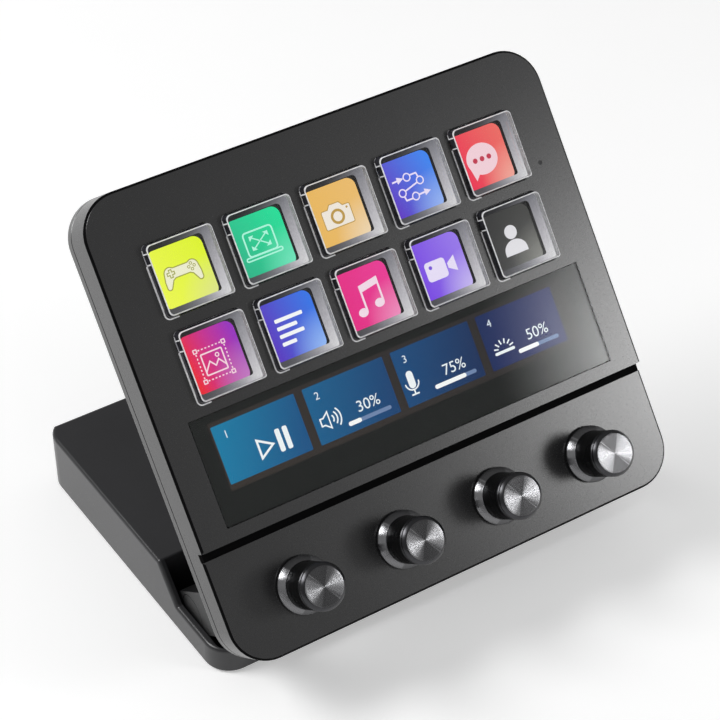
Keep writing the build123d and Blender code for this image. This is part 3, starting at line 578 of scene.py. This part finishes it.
def revolve_mesh(name, profile, segments, displace):
    """A turned mesh about the N axis of the panel's frame, with a map named turning.

    profile is (radius, level) from the outer foot to the centre of the top."""
    work = bmesh.new()
    turning = work.loops.layers.uv.new("turning")
    lengths = [0.0]
    for (r0, z0), (r1, z1) in zip(profile, profile[1:]):
        lengths.append(lengths[-1] + math.hypot(r1 - r0, z1 - z0))
    rings = []
    for radius, level in profile[:-1]:
        outline = []
        for step in range(segments):
            turn = 2 * math.pi * step / segments
            reach = radius + displace(turn, level, radius)
            outline.append((reach * math.cos(turn), reach * math.sin(turn)))
        rings.append(ring_at(work, outline, level))
    middle = work.verts.new((0, 0, profile[-1][1]))
    for row, lower in enumerate(rings):
        for step in range(segments):
            after = (step + 1) % segments
            corners = [(lower[step], step, row), (lower[after], step + 1, row)]
            if row + 1 < len(rings):
                upper = rings[row + 1]
                corners += [(upper[after], step + 1, row + 1), (upper[step], step, row + 1)]
            else:
                corners.append((middle, step + 0.5, row + 1))
            face = work.faces.new([corner[0] for corner in corners])
            face.smooth = True
            for loop, (_, place, line) in zip(face.loops, corners):
                loop[turning].uv = (place / segments, lengths[line])
    work.normal_update()
    mesh = bpy.data.meshes.new(name)
    work.to_mesh(mesh)
    work.free()
    return mesh


def key_places():
    for row in range(KEY_ROWS):
        for column in range(KEY_COLUMNS):
            yield ((column - (KEY_COLUMNS - 1) / 2) * KEY_PITCH_ACROSS, KEY_TOP_ROW_V - row * KEY_PITCH_DOWN)


def knob_places():
    return [((i - (KNOB_COUNT - 1) / 2) * KNOB_PITCH, KNOB_CENTRE_V) for i in range(KNOB_COUNT)]


# ---------------------------------------------------------------- drawing lit icons
class Drawing:
    """Thin lit marks in the panel's frame: strokes, discs and filled outlines, made into one piece."""

    def __init__(self, name, centre, level):
        self.name, self.centre, self.level = name, centre, level
        self.work = bmesh.new()

    def polygon(self, points):
        """A filled outline; points run either way round."""
        area = sum(a[0] * b[1] - b[0] * a[1] for a, b in zip(points, points[1:] + points[:1]))
        if area < 0:
            points = points[::-1]
        cx, cy = self.centre
        plate(self.work, [(x + cx, y + cy) for x, y in points], self.level, self.level + LAYER)

    def stroke(self, points, width, closed=False):
        """A line of even width with mitred corners and flat ends."""
        least_cosine, widest = 0.35, 2.0
        places = [Vector(point) for point in points]
        rings = []
        for i, here in enumerate(places):
            ways = [(here - places[i - 1]).normalized()] if closed or i > 0 else []
            if closed or i < len(places) - 1:
                ways.append((places[(i + 1) % len(places)] - here).normalized())
            way = sum(ways, Vector((0, 0)))
            way = way.normalized() if way.length > 1e-6 else ways[0]
            across = Vector((-way.y, way.x))
            first = Vector((-ways[0].y, ways[0].x))
            side = across * width / 2 * min(widest, 1.0 / max(least_cosine, across.dot(first)))
            left, right = here + side + Vector(self.centre), here - side + Vector(self.centre)
            rings.append([self.work.verts.new((*point, level)) for point, level in
                          ((left, self.level), (right, self.level), (right, self.level + LAYER),
                           (left, self.level + LAYER))])
        tube(self.work, rings, closed=closed)

    def disc(self, x, y, radius, steps=20):
        self.polygon(arc(x, y, radius, 0, 360, steps)[:-1])

    def ring(self, x, y, radius, width, steps=28):
        self.stroke(arc(x, y, radius, 0, 360, steps)[:-1], width, True)

    def finish(self, colour):
        """Makes the piece, lit in one #rrggbb colour. A drawing with nothing in it makes none."""
        if self.work.faces:
            bmesh.ops.recalc_face_normals(self.work, faces=self.work.faces)
            mesh = bpy.data.meshes.new(self.name)
            self.work.to_mesh(mesh)
            panel_piece(self.name, mesh, lit_ink(self.name, rgb(colour)))
        self.work.free()


def box_points(x, y, width, height, corner=0.6):
    return rounded_rectangle(width, height, corner, 4, (x, y))


def draw_controller(fill, line):
    size, lift = 0.9, 0.8

    def placed(points):
        return [(x * size, y * size + lift) for x, y in points]

    left = arc(-3.7, 0.7, 1.9, 80, 170, 8) + [(-6.0, -1.4)]
    left += arc(-5.2, -3.2, 0.8, 190, 320, 6) + [(-3.3, -1.5)]
    right = [(-x, y) for x, y in reversed(left)]
    body = placed(left + [(-2.4, -1.0), (2.4, -1.0)] + right + [(2.4, 2.1), (-2.4, 2.1)])
    fill.polygon(body)
    line.stroke(body, 0.3, True)
    arm, half = 1.2, 0.4
    corners = ((half, arm), (half, half), (arm, half))
    cross = []
    for sx, sy, order in ((1, 1, 1), (1, -1, -1), (-1, -1, 1), (-1, 1, -1)):
        cross += [(sx * x, sy * y) for x, y in corners[::order]]
    line.stroke(placed([(x - 3.5, y + 0.6) for x, y in cross]), 0.26, True)
    for x, y in placed(((3.4, 1.55), (3.4, -0.25), (2.5, 0.65), (4.3, 0.65))):
        line.ring(x, y, 0.36, 0.2, 14)


def draw_laptop(fill, line):
    line.stroke(box_points(0, 1.0, 8.8, 6.6, 0.9), 0.46, True)
    line.stroke(box_points(0, -2.85, 11.0, 0.9, 0.44), 0.4, True)
    for sx in (-1, 1):
        for sy in (-1, 1):
            tip = (sx * 2.9, 1.1 + sy * 2.0)
            line.stroke([(sx * 0.1, 1.1 + sy * 0.07), (tip[0] - sx * 0.7, tip[1] - sy * 0.5)], 0.34)
            line.polygon([tip, (tip[0] - sx * 1.5, tip[1]), (tip[0], tip[1] - sy * 1.4)])


def draw_camera(fill, line):
    outline = arc(-4.0, -2.7, 0.5, 180, 270, 4) + arc(4.0, -2.7, 0.5, 270, 360, 4)
    outline += arc(4.0, 1.7, 0.5, 0, 90, 4) + [(2.4, 2.2), (1.5, 3.4), (-1.5, 3.4), (-2.4, 2.2)]
    outline += arc(-4.0, 1.7, 0.5, 90, 180, 4)
    fill.polygon(outline)
    line.stroke(outline, 0.26, True)
    line.ring(0, -0.35, 1.75, 0.75)
    fill.ring(0, -0.35, 1.7, 0.3)
    line.disc(3.4, 1.3, 0.32)


def draw_flow(fill, line):
    upper, right, left, lower = (-0.4, 2.9), (3.2, 0.9), (-3.2, -0.9), (0.4, -2.9)
    for x, y in (upper, right, left, lower):
        line.ring(x, y, 1.05, 0.36)
    line.stroke([(0.6, 3.2), (2.7, 3.2), (3.0, 1.9)], 0.46)
    line.stroke([(2.2, 0.6), (-2.2, -0.6)], 0.46)
    line.stroke([(-3.0, -1.9), (-2.7, -3.2), (-0.6, -3.2)], 0.46)
    line.stroke([(-5.2, 2.7), (-3.4, 2.8)], 0.5)
    line.polygon([(-3.6, 3.8), (-1.5, 2.9), (-3.6, 1.8)])
    line.stroke([(1.4, -2.8), (3.4, -2.7)], 0.5)
    line.polygon([(3.4, -1.7), (5.4, -2.7), (3.4, -3.7)])


def draw_chat(fill, line):
    x, y, radius, squash = -0.2, 0.2, 5.0, 0.9
    tail = [(-3.9, -5.3)]
    fill.polygon(arc(x, y, radius, -118, 205, 34, squash) + tail)
    for step in (-2.3, 0.0, 2.3):
        line.disc(x + step, y, 0.75)


def draw_picture(fill, line):
    middle = (-0.3, -0.4)
    reach, gap, half_dot = 4.25, 1.06, 0.26

    def placed(points):
        return [(x + middle[0], y + middle[1]) for x, y in points]

    line.stroke(placed(box_points(0, 0, 6.2, 5.8, 0.2)), 0.4, True)
    line.stroke(placed([(-3.0, -1.9), (-1.2, 0.5), (0.2, -1.1), (1.4, 0.3), (3.0, -1.7)]), 0.38)
    line.ring(middle[0] + 1.4, middle[1] + 1.5, 0.5, 0.3, 16)
    for i in range(7):
        step = (i - 3) * gap
        for side in (-reach, reach):
            line.stroke(placed([(step - half_dot, side), (step + half_dot, side)]), 0.36)
            line.stroke(placed([(side, step - half_dot), (side, step + half_dot)]), 0.36)
    for sx in (-1, 1):
        for sy in (-1, 1):
            line.stroke(placed(box_points(sx * reach, sy * reach, 0.95, 0.95, 0.05)), 0.32, True)


def draw_text_lines(fill, line):
    for row, length in enumerate((8.6, 6.2, 7.6, 4.4)):
        y = 3.3 - row * 2.2
        line.polygon(box_points(-4.3 + length / 2, y, length, 1.05, 0.3))


def draw_note(fill, line):
    for x, y in ((-2.6, -3.4), (3.0, -2.4)):
        line.polygon(arc(x, y, 1.5, 0, 360, 20, 0.82)[:-1])
    line.stroke([(-1.35, -3.4), (-1.35, 3.4)], 0.6)
    line.stroke([(4.25, -2.4), (4.25, 4.4)], 0.6)
    line.polygon([(-1.65, 1.9), (4.55, 2.9), (4.55, 4.9), (-1.65, 3.9)])


def draw_video(fill, line):
    fill.polygon(box_points(-1.4, 0, 6.6, 5.6, 1.0))
    fill.polygon([(2.4, 0.7), (5.0, 2.3), (5.0, -2.3), (2.4, -0.7)])
    line.disc(-3.0, 1.1, 0.55)


def draw_person(fill, line):
    x, drop, shoulders = 0.5, 0.4, 3.7
    fill.disc(x, 2.5 - drop, 2.0, 28)
    fill.polygon([(x - shoulders, -3.9 - drop), (x + shoulders, -3.9 - drop)]
                 + arc(x, -2.9 - drop, shoulders, 0, 180, 22, 0.86))


# Each key's image: left, right and corner colours, the gradient's angle, the icon, fill and line colours.
KEY_IMAGES = [
    ("#f4ff4c", "#e6fb22", "#e4e79a", 30, draw_controller, "#f7f6d6", "#a3a540"),
    ("#1fb98a", "#0ee29a", "#7ff0ca", 30, draw_laptop, "#c9fbe6", "#b4ffe4"),
    ("#f0bc5e", "#f2c06c", "#f6e2c2", 0, draw_camera, "#f8efe2", "#c29a45"),
    ("#5e30c8", "#3a86f4", "#a9c6fb", 20, draw_flow, "#ffffff", "#f3e6ff"),
    ("#f2284f", "#f36a62", "#f9b9a8", 15, draw_chat, "#fbd7df", "#c8324e"),
    ("#f01a2c", "#9a28c0", "#cf86c8", 10, draw_picture, "#ffffff", "#ffdfe8"),
    ("#5630c4", "#2f74ea", "#a6ccff", 10, draw_text_lines, "#ffffff", "#ffffff"),
    ("#ea1f84", "#f03296", "#f5a0cb", 10, draw_note, "#fbdcec", "#fbe2ef"),
    ("#7a42e8", "#9a78f0", "#d6c9f8", 10, draw_video, "#f0e6ff", "#7a50e0"),
    ("#2a2a2a", "#3e3e3c", "#83837c", 10, draw_person, "#e6e4e8", "#e6e4e8"),
]


def make_key_images():
    for number, ((u, v), image) in enumerate(zip(key_places(), KEY_IMAGES), 1):
        left, right, glow, angle, draw, fill_colour, line_colour = image
        name = f"key_image_{number:02d}"
        centre = (u + KEY_IMAGE_ASIDE, v - KEY_IMAGE_DROP)
        outline = rounded_rectangle(KEY_IMAGE_WIDTH, KEY_IMAGE_HEIGHT, KEY_IMAGE_CORNERS, centre=centre)
        mesh = plate_mesh(name, outline, KEY_IMAGE_LEVEL - LAYER, KEY_IMAGE_LEVEL)
        map_image(mesh, centre, KEY_IMAGE_WIDTH, KEY_IMAGE_HEIGHT)
        panel_piece(name, mesh, lit_image(name, rgb(left), rgb(right), rgb(glow), angle))
        icon_centre = (u + KEY_ICON_ASIDE, v - KEY_ICON_DROP)
        fill = Drawing(f"key_icon_{number:02d}", icon_centre, KEY_IMAGE_LEVEL + LAYER / 2)
        line = Drawing(f"key_lines_{number:02d}", icon_centre, KEY_IMAGE_LEVEL + 2 * LAYER)
        draw(fill, line)
        fill.finish(fill_colour)
        line.finish(line_colour)


# ---------------------------------------------------------------- clear key caps
# material slots of a cap: clear acrylic, edges with painted highlight, skirt with painted light, sides with
# a painted dark reflection
CLEAR, EDGE, SKIRT, WALL = 0, 1, 2, 3


def key_mesh(name):
    """A clear cap with frosted edges and skirt, its retaining flange and two short ribs on its left wall.
    The edges and ribs carry painted highlight, the skirt painted light, and the sides above the cover a
    painted dark reflection.
    """
    half, shoulder = KEY_SIZE / 2, KEY_TOP_SIZE + 2 * KEY_BEVEL
    ledge_drop, bevel_drop, rib_foot = 0.2, 0.7 * KEY_BEVEL, 0.1

    def outline(size):
        return rounded_rectangle(size, size, KEY_CORNERS)

    def rib(side, low):
        high = low + RIDGE_WIDTH
        left, right = -side - RIB_PROUD, -side + RIB_PROUD
        return [(left, low), (right, low), (right, high), (left, high)]

    def build(work):
        band_solid(work, [(outline(KEY_FOOT_SIZE), KEY_FOOT),
                          (outline(KEY_SIZE - 2 * KEY_LEDGE), KEY_SKIRT_TOP - ledge_drop),
                          (outline(KEY_SIZE), KEY_SKIRT_TOP), (outline(KEY_SIZE), KEY_WALL_FOOT),
                          (outline(shoulder), KEY_TOP - bevel_drop), (outline(KEY_TOP_SIZE), KEY_TOP)],
                   (SKIRT, EDGE, CLEAR, CLEAR, EDGE))
        # the sides above the cover, all but a clear strip on the right, take the painted dark reflection
        for face in work.faces:
            centre = face.calc_center_median()
            if KEY_WALL_FOOT < centre.z < KEY_TOP - 2 * KEY_BEVEL and centre.x < half - KEY_CLEAR_SIDE:
                face.material_index = WALL
        low, high = KEY_FLANGE_LEVELS
        flange, hole = outline(KEY_FLANGE_SIZE), outline(KEY_FLANGE_HOLE)
        levels = ((flange, low), (flange, high), (hole, high), (hole, low))
        tube(work, [ring_at(work, shape, level) for shape, level in levels], CLEAR, True)
        for place in RIDGE_NOTCH:
            foot, top = (rib(half, place), rib_foot), (rib(shoulder / 2, place), KEY_TOP - KEY_BEVEL)
            band_solid(work, [foot, top], (EDGE,), EDGE, EDGE)
    mesh = mesh_from(name, build)
    map_image(mesh, (0, 0), KEY_SIZE, KEY_SIZE)
    return mesh


def rail(work, path, width, low, high):
    """A thin rail of square section, standing out to the right of its path by its width."""
    rings = []
    for i, (x, y) in enumerate(path):
        way = (Vector(path[min(i + 1, len(path) - 1)]) - Vector(path[max(i - 1, 0)])).normalized()
        out_x, out_y = x + way.y * width, y - way.x * width
        corners = ((x, y, low), (out_x, out_y, low), (out_x, out_y, high), (x, y, high))
        rings.append([work.verts.new(corner) for corner in corners])
    tube(work, rings)


def make_key_ridges(material):
    """Thin frosted ridges on the cover: down the left side of each key and round its lower left corner. They
    take the edge material with its painted highlight.
    """
    side, foot = KEY_SIZE / 2 + RIDGE_GAP, KEY_CORNERS[2]
    lower = [(-side, RIDGE_NOTCH[0]), (-side, -side + foot)]
    lower += arc(-side + foot, -side + foot, foot, 180, 270, 6)[1:] + [(-side + 3 * foot, -side)]
    upper = [(-side, RIDGE_NOTCH[1]), (-side, side - KEY_CORNERS[1])]

    def build(work):
        for u, v in key_places():
            for path in (lower, upper):
                rail(work, [(x + u, y + v) for x, y in path], RIDGE_WIDTH, 0.0, RIDGE_HEIGHT)
    panel_piece("key_ridges", mesh_from("key_ridges", build), material)


def make_keys():
    materials = (clear_acrylic("clear_acrylic"), frosted_edge_painted_highlight("acrylic_edge_painted_highlight"),
                 frosted_skirt_painted_light("acrylic_skirt_painted_light"), wall_painted_reflection("acrylic_wall_painted_reflection"))
    for number, (u, v) in enumerate(key_places(), 1):
        mesh = key_mesh(f"key_cap_{number:02d}")
        mesh.transform(Matrix.Translation((u, v, 0)))
        piece = panel_piece(f"key_cap_{number:02d}", mesh, *materials, body=f"key_{number:02d}")
        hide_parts(f"key_{number:02d}")
    make_key_ridges(materials[EDGE])


# ---------------------------------------------------------------- touch strip
def draw_play(d):
    d.stroke([(-5.0, -2.5), (-5.0, 2.5), (-0.8, 0.0)], 0.62, True)
    for x in (1.4, 3.7):
        d.polygon(box_points(x, 0.2, 1.45, 6.4, 0.5))


def draw_speaker(d):
    d.stroke([(-2.9, -1.0), (-1.9, -1.0), (-0.3, -2.3), (-0.3, 2.3), (-1.9, 1.0), (-2.9, 1.0)], 0.42, True)
    for radius in (1.3, 2.4, 3.5):
        d.stroke(arc(-0.2, 0, radius, -44, 44, 8), 0.42)


def draw_microphone(d):
    d.polygon(box_points(0, 1.4, 2.1, 5.0, 1.04))
    d.stroke(arc(0, 0.6, 2.1, 180, 360, 10), 0.4)
    d.stroke([(0, -1.5), (0, -2.7)], 0.45)
    d.stroke([(-1.2, -2.8), (1.2, -2.8)], 0.45)


def draw_brightness(d):
    d.polygon(box_points(0, -1.6, 6.6, 0.85, 0.4))
    for turn in (14, 44, 75, 105, 136, 166):
        c, s = math.cos(math.radians(turn)), math.sin(math.radians(turn))
        d.stroke([(1.9 * c, -0.9 + 1.5 * s), (3.3 * c, -0.9 + 2.9 * s)], 0.42)


def lit_text(name, body, size, place, level, colour):
    """Plain numerals as a thin lit mesh."""
    curve = bpy.data.curves.new(name, "FONT")
    curve.body = body
    curve.size = size
    curve.align_x = "CENTER"
    curve.align_y = "CENTER"
    curve.extrude = LAYER / 2
    holder = new_object(name + "_text", curve)
    bpy.context.view_layer.update()
    mesh = bpy.data.meshes.new_from_object(holder.evaluated_get(bpy.context.evaluated_depsgraph_get()))
    bpy.data.objects.remove(holder)
    mesh.name = name
    mesh.transform(Matrix.Translation((*place, level + LAYER / 2)))
    mesh.materials.clear()
    panel_piece(name, mesh, lit_ink(name, rgb(colour)))


# Each tile: left and right colours, the icon and its place across, label, number and the bar's share.
TILE_IMAGES = [
    ("#0579a4", "#065084", draw_play, 3.2, "1", None, None),
    ("#055c8c", "#063e70", draw_speaker, -7.8, "2", "30%", 0.30),
    ("#05477a", "#072a58", draw_microphone, -9.4, "3", "75%", 0.75),
    ("#0c2458", "#1a2260", draw_brightness, -7.2, "4", "50%", 0.50),
]


def layer_level(step):
    """Levels of the thin layers under the glass, two thicknesses apart, counted up from the black print."""
    return GLASS_BACK - (PRINT_LAYERS - 2 * step) * LAYER


def make_strip_glass():
    width, height = GLASS_WIDTH, GLASS_HIGH - GLASS_LOW

    def outline(inset):
        centre = (0, (GLASS_HIGH + GLASS_LOW) / 2)
        return rounded_rectangle(width - 2 * inset, height - 2 * inset, GLASS_CORNER, 3, centre)

    glass = mesh_from("strip_glass", lambda work: band_solid(
        work, [(outline(0), GLASS_BACK), (outline(0), -GLASS_BEVEL), (outline(GLASS_BEVEL), 0.0)], (1, 1)))
    edge = matt_black("strip_edge", rgb("#1b1f1d"))
    piece = panel_piece("strip_glass", glass, strip_glass("strip_glass"), edge)
    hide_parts("touch_glass")
    black = plate_mesh("strip_print", outline(PRINT_INSET), PRINT_BACK, layer_level(0))
    panel_piece("strip_print", black, matt_black("strip_print", rgb("#212523")))
    left, right, low, high = LIT_AREA
    centre = ((left + right) / 2, (low + high) / 2)
    area = rounded_rectangle(right - left, high - low, 0.3, 2, centre)
    dark = plate_mesh("strip_lit_area", area, layer_level(1) - LAYER, layer_level(1))
    map_image(dark, centre, right - left, high - low)
    panel_piece("strip_lit_area", dark, lit_image("strip_lit_area", rgb("#2e2723"), rgb("#221f20")))


def make_bar(number, u, v, share, level):
    """A pale track under the number, and the white bar on it."""
    left, right = u + BAR_START, u + TILE_WIDTH / 2 - BAR_END_MARGIN
    end = left + (right - left) * share
    track = Drawing(f"strip_track_{number}", (0, 0), level)
    track.polygon(box_points((left + right) / 2, v, right - left, BAR_THICK[0], 0.5))
    track.finish("#6f86ae")
    bar = Drawing(f"strip_bar_{number}", (0, 0), level + LAYER / 4)
    bar.polygon(box_points((left + end) / 2, v, end - left, BAR_THICK[1], 0.55))
    bar.finish("#ffffff")


def make_strip_images():
    height, v = TILE_HIGH - TILE_LOW, (TILE_HIGH + TILE_LOW) / 2
    tile_level, mark_level = layer_level(2), layer_level(2) + LAYER / 2
    for number, (left, right, draw, icon_u, label, share_text, share) in enumerate(TILE_IMAGES, 1):
        u = TILE_LEFT + (number - 1) * TILE_PITCH + TILE_WIDTH / 2
        name = f"strip_tile_{number}"
        outline = rounded_rectangle(TILE_WIDTH, height, 0.25, 2, (u, v))
        mesh = plate_mesh(name, outline, tile_level - LAYER, tile_level)
        map_image(mesh, (u, v), TILE_WIDTH, height)
        panel_piece(name, mesh, lit_image(name, rgb(left), rgb(right), angle=-10.0))
        icon = Drawing(f"strip_icon_{number}", (u + icon_u, v - ICON_DROP), mark_level)
        draw(icon)
        icon.finish("#f6fafc")
        label_place = (u - TILE_WIDTH / 2 + LABEL_INSETS[0], TILE_HIGH - LABEL_INSETS[1])
        lit_text(f"strip_label_{number}", label, LABEL_SIZE, label_place, mark_level, "#e6eef4")
        if share is not None:
            number_place = (u + NUMBER_ASIDE, v - NUMBER_DROP)
            lit_text(f"strip_number_{number}", share_text, NUMBER_SIZE, number_place, mark_level, "#eef4f8")
            make_bar(number, u, v - BAR_DROP, share, mark_level)


# ---------------------------------------------------------------- knobs
def knurl(turn, level, radius):
    """Diamond knurling over the grip: two sets of crossing grooves."""
    low = GRIP_LOW + 0.05
    if level <= low or level >= GRIP_HIGH or radius < KNOB_RADIUS - 0.05:
        return 0.0
    lean = KNURL_TEETH * (level - low) / KNOB_RADIUS
    waves = math.cos(KNURL_TEETH * turn + lean) + math.cos(KNURL_TEETH * turn - lean)
    return -KNURL_DEPTH * (1 - max(0.0, waves / 2 + 0.5) / 1.5)


def knob_profile():
    """(radius, level) from the flange's foot to the centre of the top, with its small bevels."""
    flange, grip, disc, foot, top = KNOB_FLANGE_RADIUS, KNOB_RADIUS, KNOB_DISC_RADIUS, KNOB_BOTTOM, KNOB_TOP
    groove = grip - 0.25
    profile = [(KNOB_FOOT_RADIUS, foot), (flange - 0.15, foot), (flange, foot + 0.12),
               (flange, KNOB_RIM - 0.1), (flange - 0.12, KNOB_RIM + 0.05),
               (grip + 0.12, KNOB_NECK), (grip, KNOB_NECK + 0.02), (grip, GRIP_LOW)]
    profile += [(grip, GRIP_LOW + (GRIP_HIGH - GRIP_LOW) * i / KNURL_ROWS) for i in range(KNURL_ROWS + 1)]
    profile += [(grip, top - 1.98), (groove, top - 1.93), (groove, top - 1.55), (grip, top - 1.5),
                (grip, top - 0.95), (grip - 0.06, top - 0.82), (disc + 0.12, top - 0.14), (disc, top - 0.05),
                (disc - 0.12, top)]
    return profile + [(radius, top) for radius in (5.0, 4.0, 3.0, 2.0, 1.0, 0.4, 0.0)]


def make_knobs():
    turned = turned_metal_painted_fans("knob_turned_painted_fans", rgb("#88888a"), 0.22)
    grip = metal("knob_grip", rgb("#434345"), 0.26)
    profile = knob_profile()
    for number, (u, v) in enumerate(knob_places(), 1):
        mesh = revolve_mesh(f"knob_dress_{number}", profile, KNURL_TEETH * 4, knurl)
        for face in mesh.polygons:
            above_neck = face.center.z > KNOB_NECK + 0.02
            outside_disc = face.center.xy.length > KNOB_DISC_RADIUS - 0.08
            face.material_index = 1 if above_neck and outside_disc else 0
        mesh.transform(Matrix.Translation((u, v, 0)))
        piece = panel_piece(f"knob_dress_{number}", mesh, turned, grip, body=f"knob_{number}")
        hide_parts(f"knob_{number}")


# ---------------------------------------------------------------- groove and bevel: strips of painted shade
def make_groove_shade_strip():
    """A dull black strip of painted shade that fills the floor of the groove above the fascia."""
    end_gap, side_gap, top = 0.4, 0.03, FASCIA_FACE - 0.25
    width, height = PANEL_WIDTH - 2 * end_gap, GROOVE_TOP - FASCIA_HEIGHT - 2 * side_gap
    shape = rounded_rectangle(width, height, 0.2, 3, (0, (GROOVE_TOP + FASCIA_HEIGHT) / 2))
    mesh = plate_mesh("groove_shade_strip", shape, GROOVE_FLOOR + 0.02, top)
    panel_piece("groove_shade_strip", mesh, matt_black("groove_painted_shade", rgb("#0a0a0b")))


def bevel_shade_line(name, low, high, face, corners):
    """A black line of painted shade in the bevel round one front face."""
    proud = 0.03
    # inset and level as shares of the bevel, and how far that edge stands out of it
    section = ((0.06, -0.94, proud), (0.9, -0.1, proud), (0.95, -0.25, 0.0), (0.2, -1.0, 0.0))

    def build(work):
        rings = []
        for inset, level, lift in section:
            inset, level = inset * FACE_BEVEL, level * FACE_BEVEL
            radii = tuple(max(0.05, corner - inset) for corner in corners)
            width, height = PANEL_WIDTH - 2 * (inset - lift), high - low - 2 * (inset - lift)
            shape = rounded_rectangle(width, height, radii, 10, (0, (low + high) / 2))
            rings.append(ring_at(work, shape, face + level + lift))
        tube(work, rings, closed=True)
    panel_piece(name, mesh_from(name, build), matt_black(name, rgb("#0b0b0c")))


def make_bevel_shade_lines():
    square, rounded = (0.1, 0.1), (PANEL_CORNER, PANEL_CORNER)
    bevel_shade_line("bevel_shade_upper", GROOVE_TOP, PANEL_HEIGHT, 0.0, rounded + square)
    bevel_shade_line("bevel_shade_lower", 0.0, FASCIA_HEIGHT, FASCIA_FACE, square + rounded)


# ---------------------------------------------------------------- finishes of the carried-over nodes
def dress_nodes():
    housing = moulded_plastic("housing_black", rgb("#1d1d1e"), 0.26, coat=True)
    base = moulded_plastic("base_black", rgb("#2c2c2e"), 0.3)
    hinge = moulded_plastic("hinge_black", rgb("#151516"), 0.45, 1800.0)
    guide = moulded_plastic("guide_black", rgb("#141415"), 0.5)
    display = moulded_plastic("display_black", rgb("#0c0c0d"), 0.25, 900.0, 0.000002)
    silicone = moulded_plastic("silicone", rgb("#3a3a3c"), 0.6)
    steel = metal("steel", rgb("#a4a4a6"), 0.34)
    dark_screw = metal("screw_steel", rgb("#4a4a4c"), 0.36)
    ballast = metal("ballast_steel", rgb("#55565a"), 0.5)
    board = moulded_plastic("board_green", rgb("#14502f"), 0.35, 1200.0)
    chip = moulded_plastic("chip_black", rgb("#1a1a1b"), 0.5)
    ribbon = moulded_plastic("ribbon_amber", rgb("#b4752a"), 0.3)
    pad = moulded_plastic("pad_rubber", rgb("#1f1f20"), 0.75, 1500.0, 0.00003)
    light = moulded_plastic("light_pipe", rgb("#2e2e30"), 0.2)
    for names, material in (
            (("front_cover", "rear_cover"), housing),
            (("base_shell", "bottom_plate"), base),
            (("hinge_arm_left", "hinge_arm_right", "hinge_pin_left", "hinge_pin_right"), hinge),
            (("key_frame",), guide), (("key_membrane",), silicone),
            (("key_display", "strip_display"), display),
            (("hinge_bracket_left", "hinge_bracket_right", "friction_washers", "hinge_nuts",
              "display_bracket", "usb_socket", "encoder_nuts"), steel),
            (("base_screws", "cover_screws", "hinge_arm_screws", "hinge_bracket_screws",
              "display_bracket_screws", "main_board_screws"), dark_screw),
            (("ballast",), ballast), (("main_board", "encoder_board"), board), (("board_chips",), chip),
            (("ribbon_cables",), ribbon), (("rest_pad",), pad), (("status_light",), light)):
        for name in names:
            dress(name, material)
    for number in range(1, KNOB_COUNT + 1):
        dress(f"encoder_body_{number}", steel)
        dress(f"encoder_shaft_{number}", steel)
        dress(f"encoder_plunger_{number}", chip)


# ---------------------------------------------------------------- floor, light and camera
def make_floor():
    corners = [(x * FLOOR_REACH, y * FLOOR_REACH) for x, y in ((-1, -1), (1, -1), (1, 1), (-1, 1))]
    mesh = mesh_from("floor", lambda work: work.faces.new(ring_at(work, corners, 0)))
    paint = Paint("floor")
    grain = paint.noise(30.0)
    tone = paint.ramp(grain, [(0.0, (0.95, 0.95, 0.95, 1)), (1.0, (0.97, 0.97, 0.97, 1))])
    paint.feed("Base Color", tone)
    paint.value("Roughness", 0.8)
    path = paint.add("ShaderNodeLightPath")
    seen = paint.math("MAXIMUM", path.outputs["Is Camera Ray"], path.outputs["Is Glossy Ray"])
    seen = paint.math("MAXIMUM", seen, path.outputs["Is Transmission Ray"])
    paint.value("Emission Color", (1.0, 1.0, 1.0, 1.0))
    paint.feed("Emission Strength", paint.math("MULTIPLY", seen, FLOOR_GLOW))
    mesh.materials.append(paint.material)
    new_object("floor", mesh)


def soft_lamp(name, place, target, size, power, edge):
    """An area lamp that fades towards its rim, as a softbox does. edge is a share of its half width."""
    data = bpy.data.lights.new(name, "AREA")
    data.shape = "RECTANGLE"
    data.size, data.size_y = size
    data.energy = power
    data.use_nodes = True
    nodes = NodeTree(data.node_tree)
    fades = []
    for axis in nodes.axes(nodes.add("ShaderNodeNewGeometry").outputs["Parametric"]):
        from_middle = nodes.math("ABSOLUTE", nodes.math("SUBTRACT", axis, 0.5))
        fades.append(nodes.between(from_middle, 0.0, 1.0, 0.5, 0.5 - edge / 2, "SMOOTHSTEP"))
    nodes.link(nodes.math("MULTIPLY", *fades), data.node_tree.nodes["Emission"].inputs["Strength"])
    lamp = new_object(name, data)
    lamp.visible_camera = False
    lamp.location = Vector(place)
    lamp.rotation_euler = (Vector(target) - Vector(place)).to_track_quat("-Z", "Y").to_euler()


def make_light():
    soft_lamp("right_softbox", RIGHT_LAMP, RIGHT_LAMP_AIM, RIGHT_LAMP_SIZE, RIGHT_LAMP_POWER,
              RIGHT_LAMP_EDGE)
    soft_lamp("left_softbox", LEFT_LAMP, LEFT_LAMP_AIM, LEFT_LAMP_SIZE, LEFT_LAMP_POWER, LEFT_LAMP_EDGE)
    world = bpy.data.worlds.new("studio")
    bpy.context.scene.world = world
    world.use_nodes = True
    background = world.node_tree.nodes["Background"]
    background.inputs["Color"].default_value = (1.0, 1.0, 1.0, 1.0)
    background.inputs["Strength"].default_value = WORLD_LEVEL


def make_camera():
    data = bpy.data.cameras.new("camera")
    data.sensor_fit = "AUTO"
    data.sensor_width = SENSOR
    data.lens = FOCAL_SHARE * SENSOR
    camera = new_object("camera", data)
    camera.location = Vector(CAMERA_PLACE) * MM
    camera.rotation_euler = (math.radians(90 - CAMERA_ELEVATION), 0, math.radians(CAMERA_AZIMUTH))
    bpy.context.scene.camera = camera


make_camera()
dress_nodes()
make_key_images()
make_keys()
make_strip_glass()
make_strip_images()
make_knobs()
make_groove_shade_strip()
make_bevel_shade_lines()
make_floor()
make_light()
bpy.context.scene.view_settings.view_transform = "Standard"
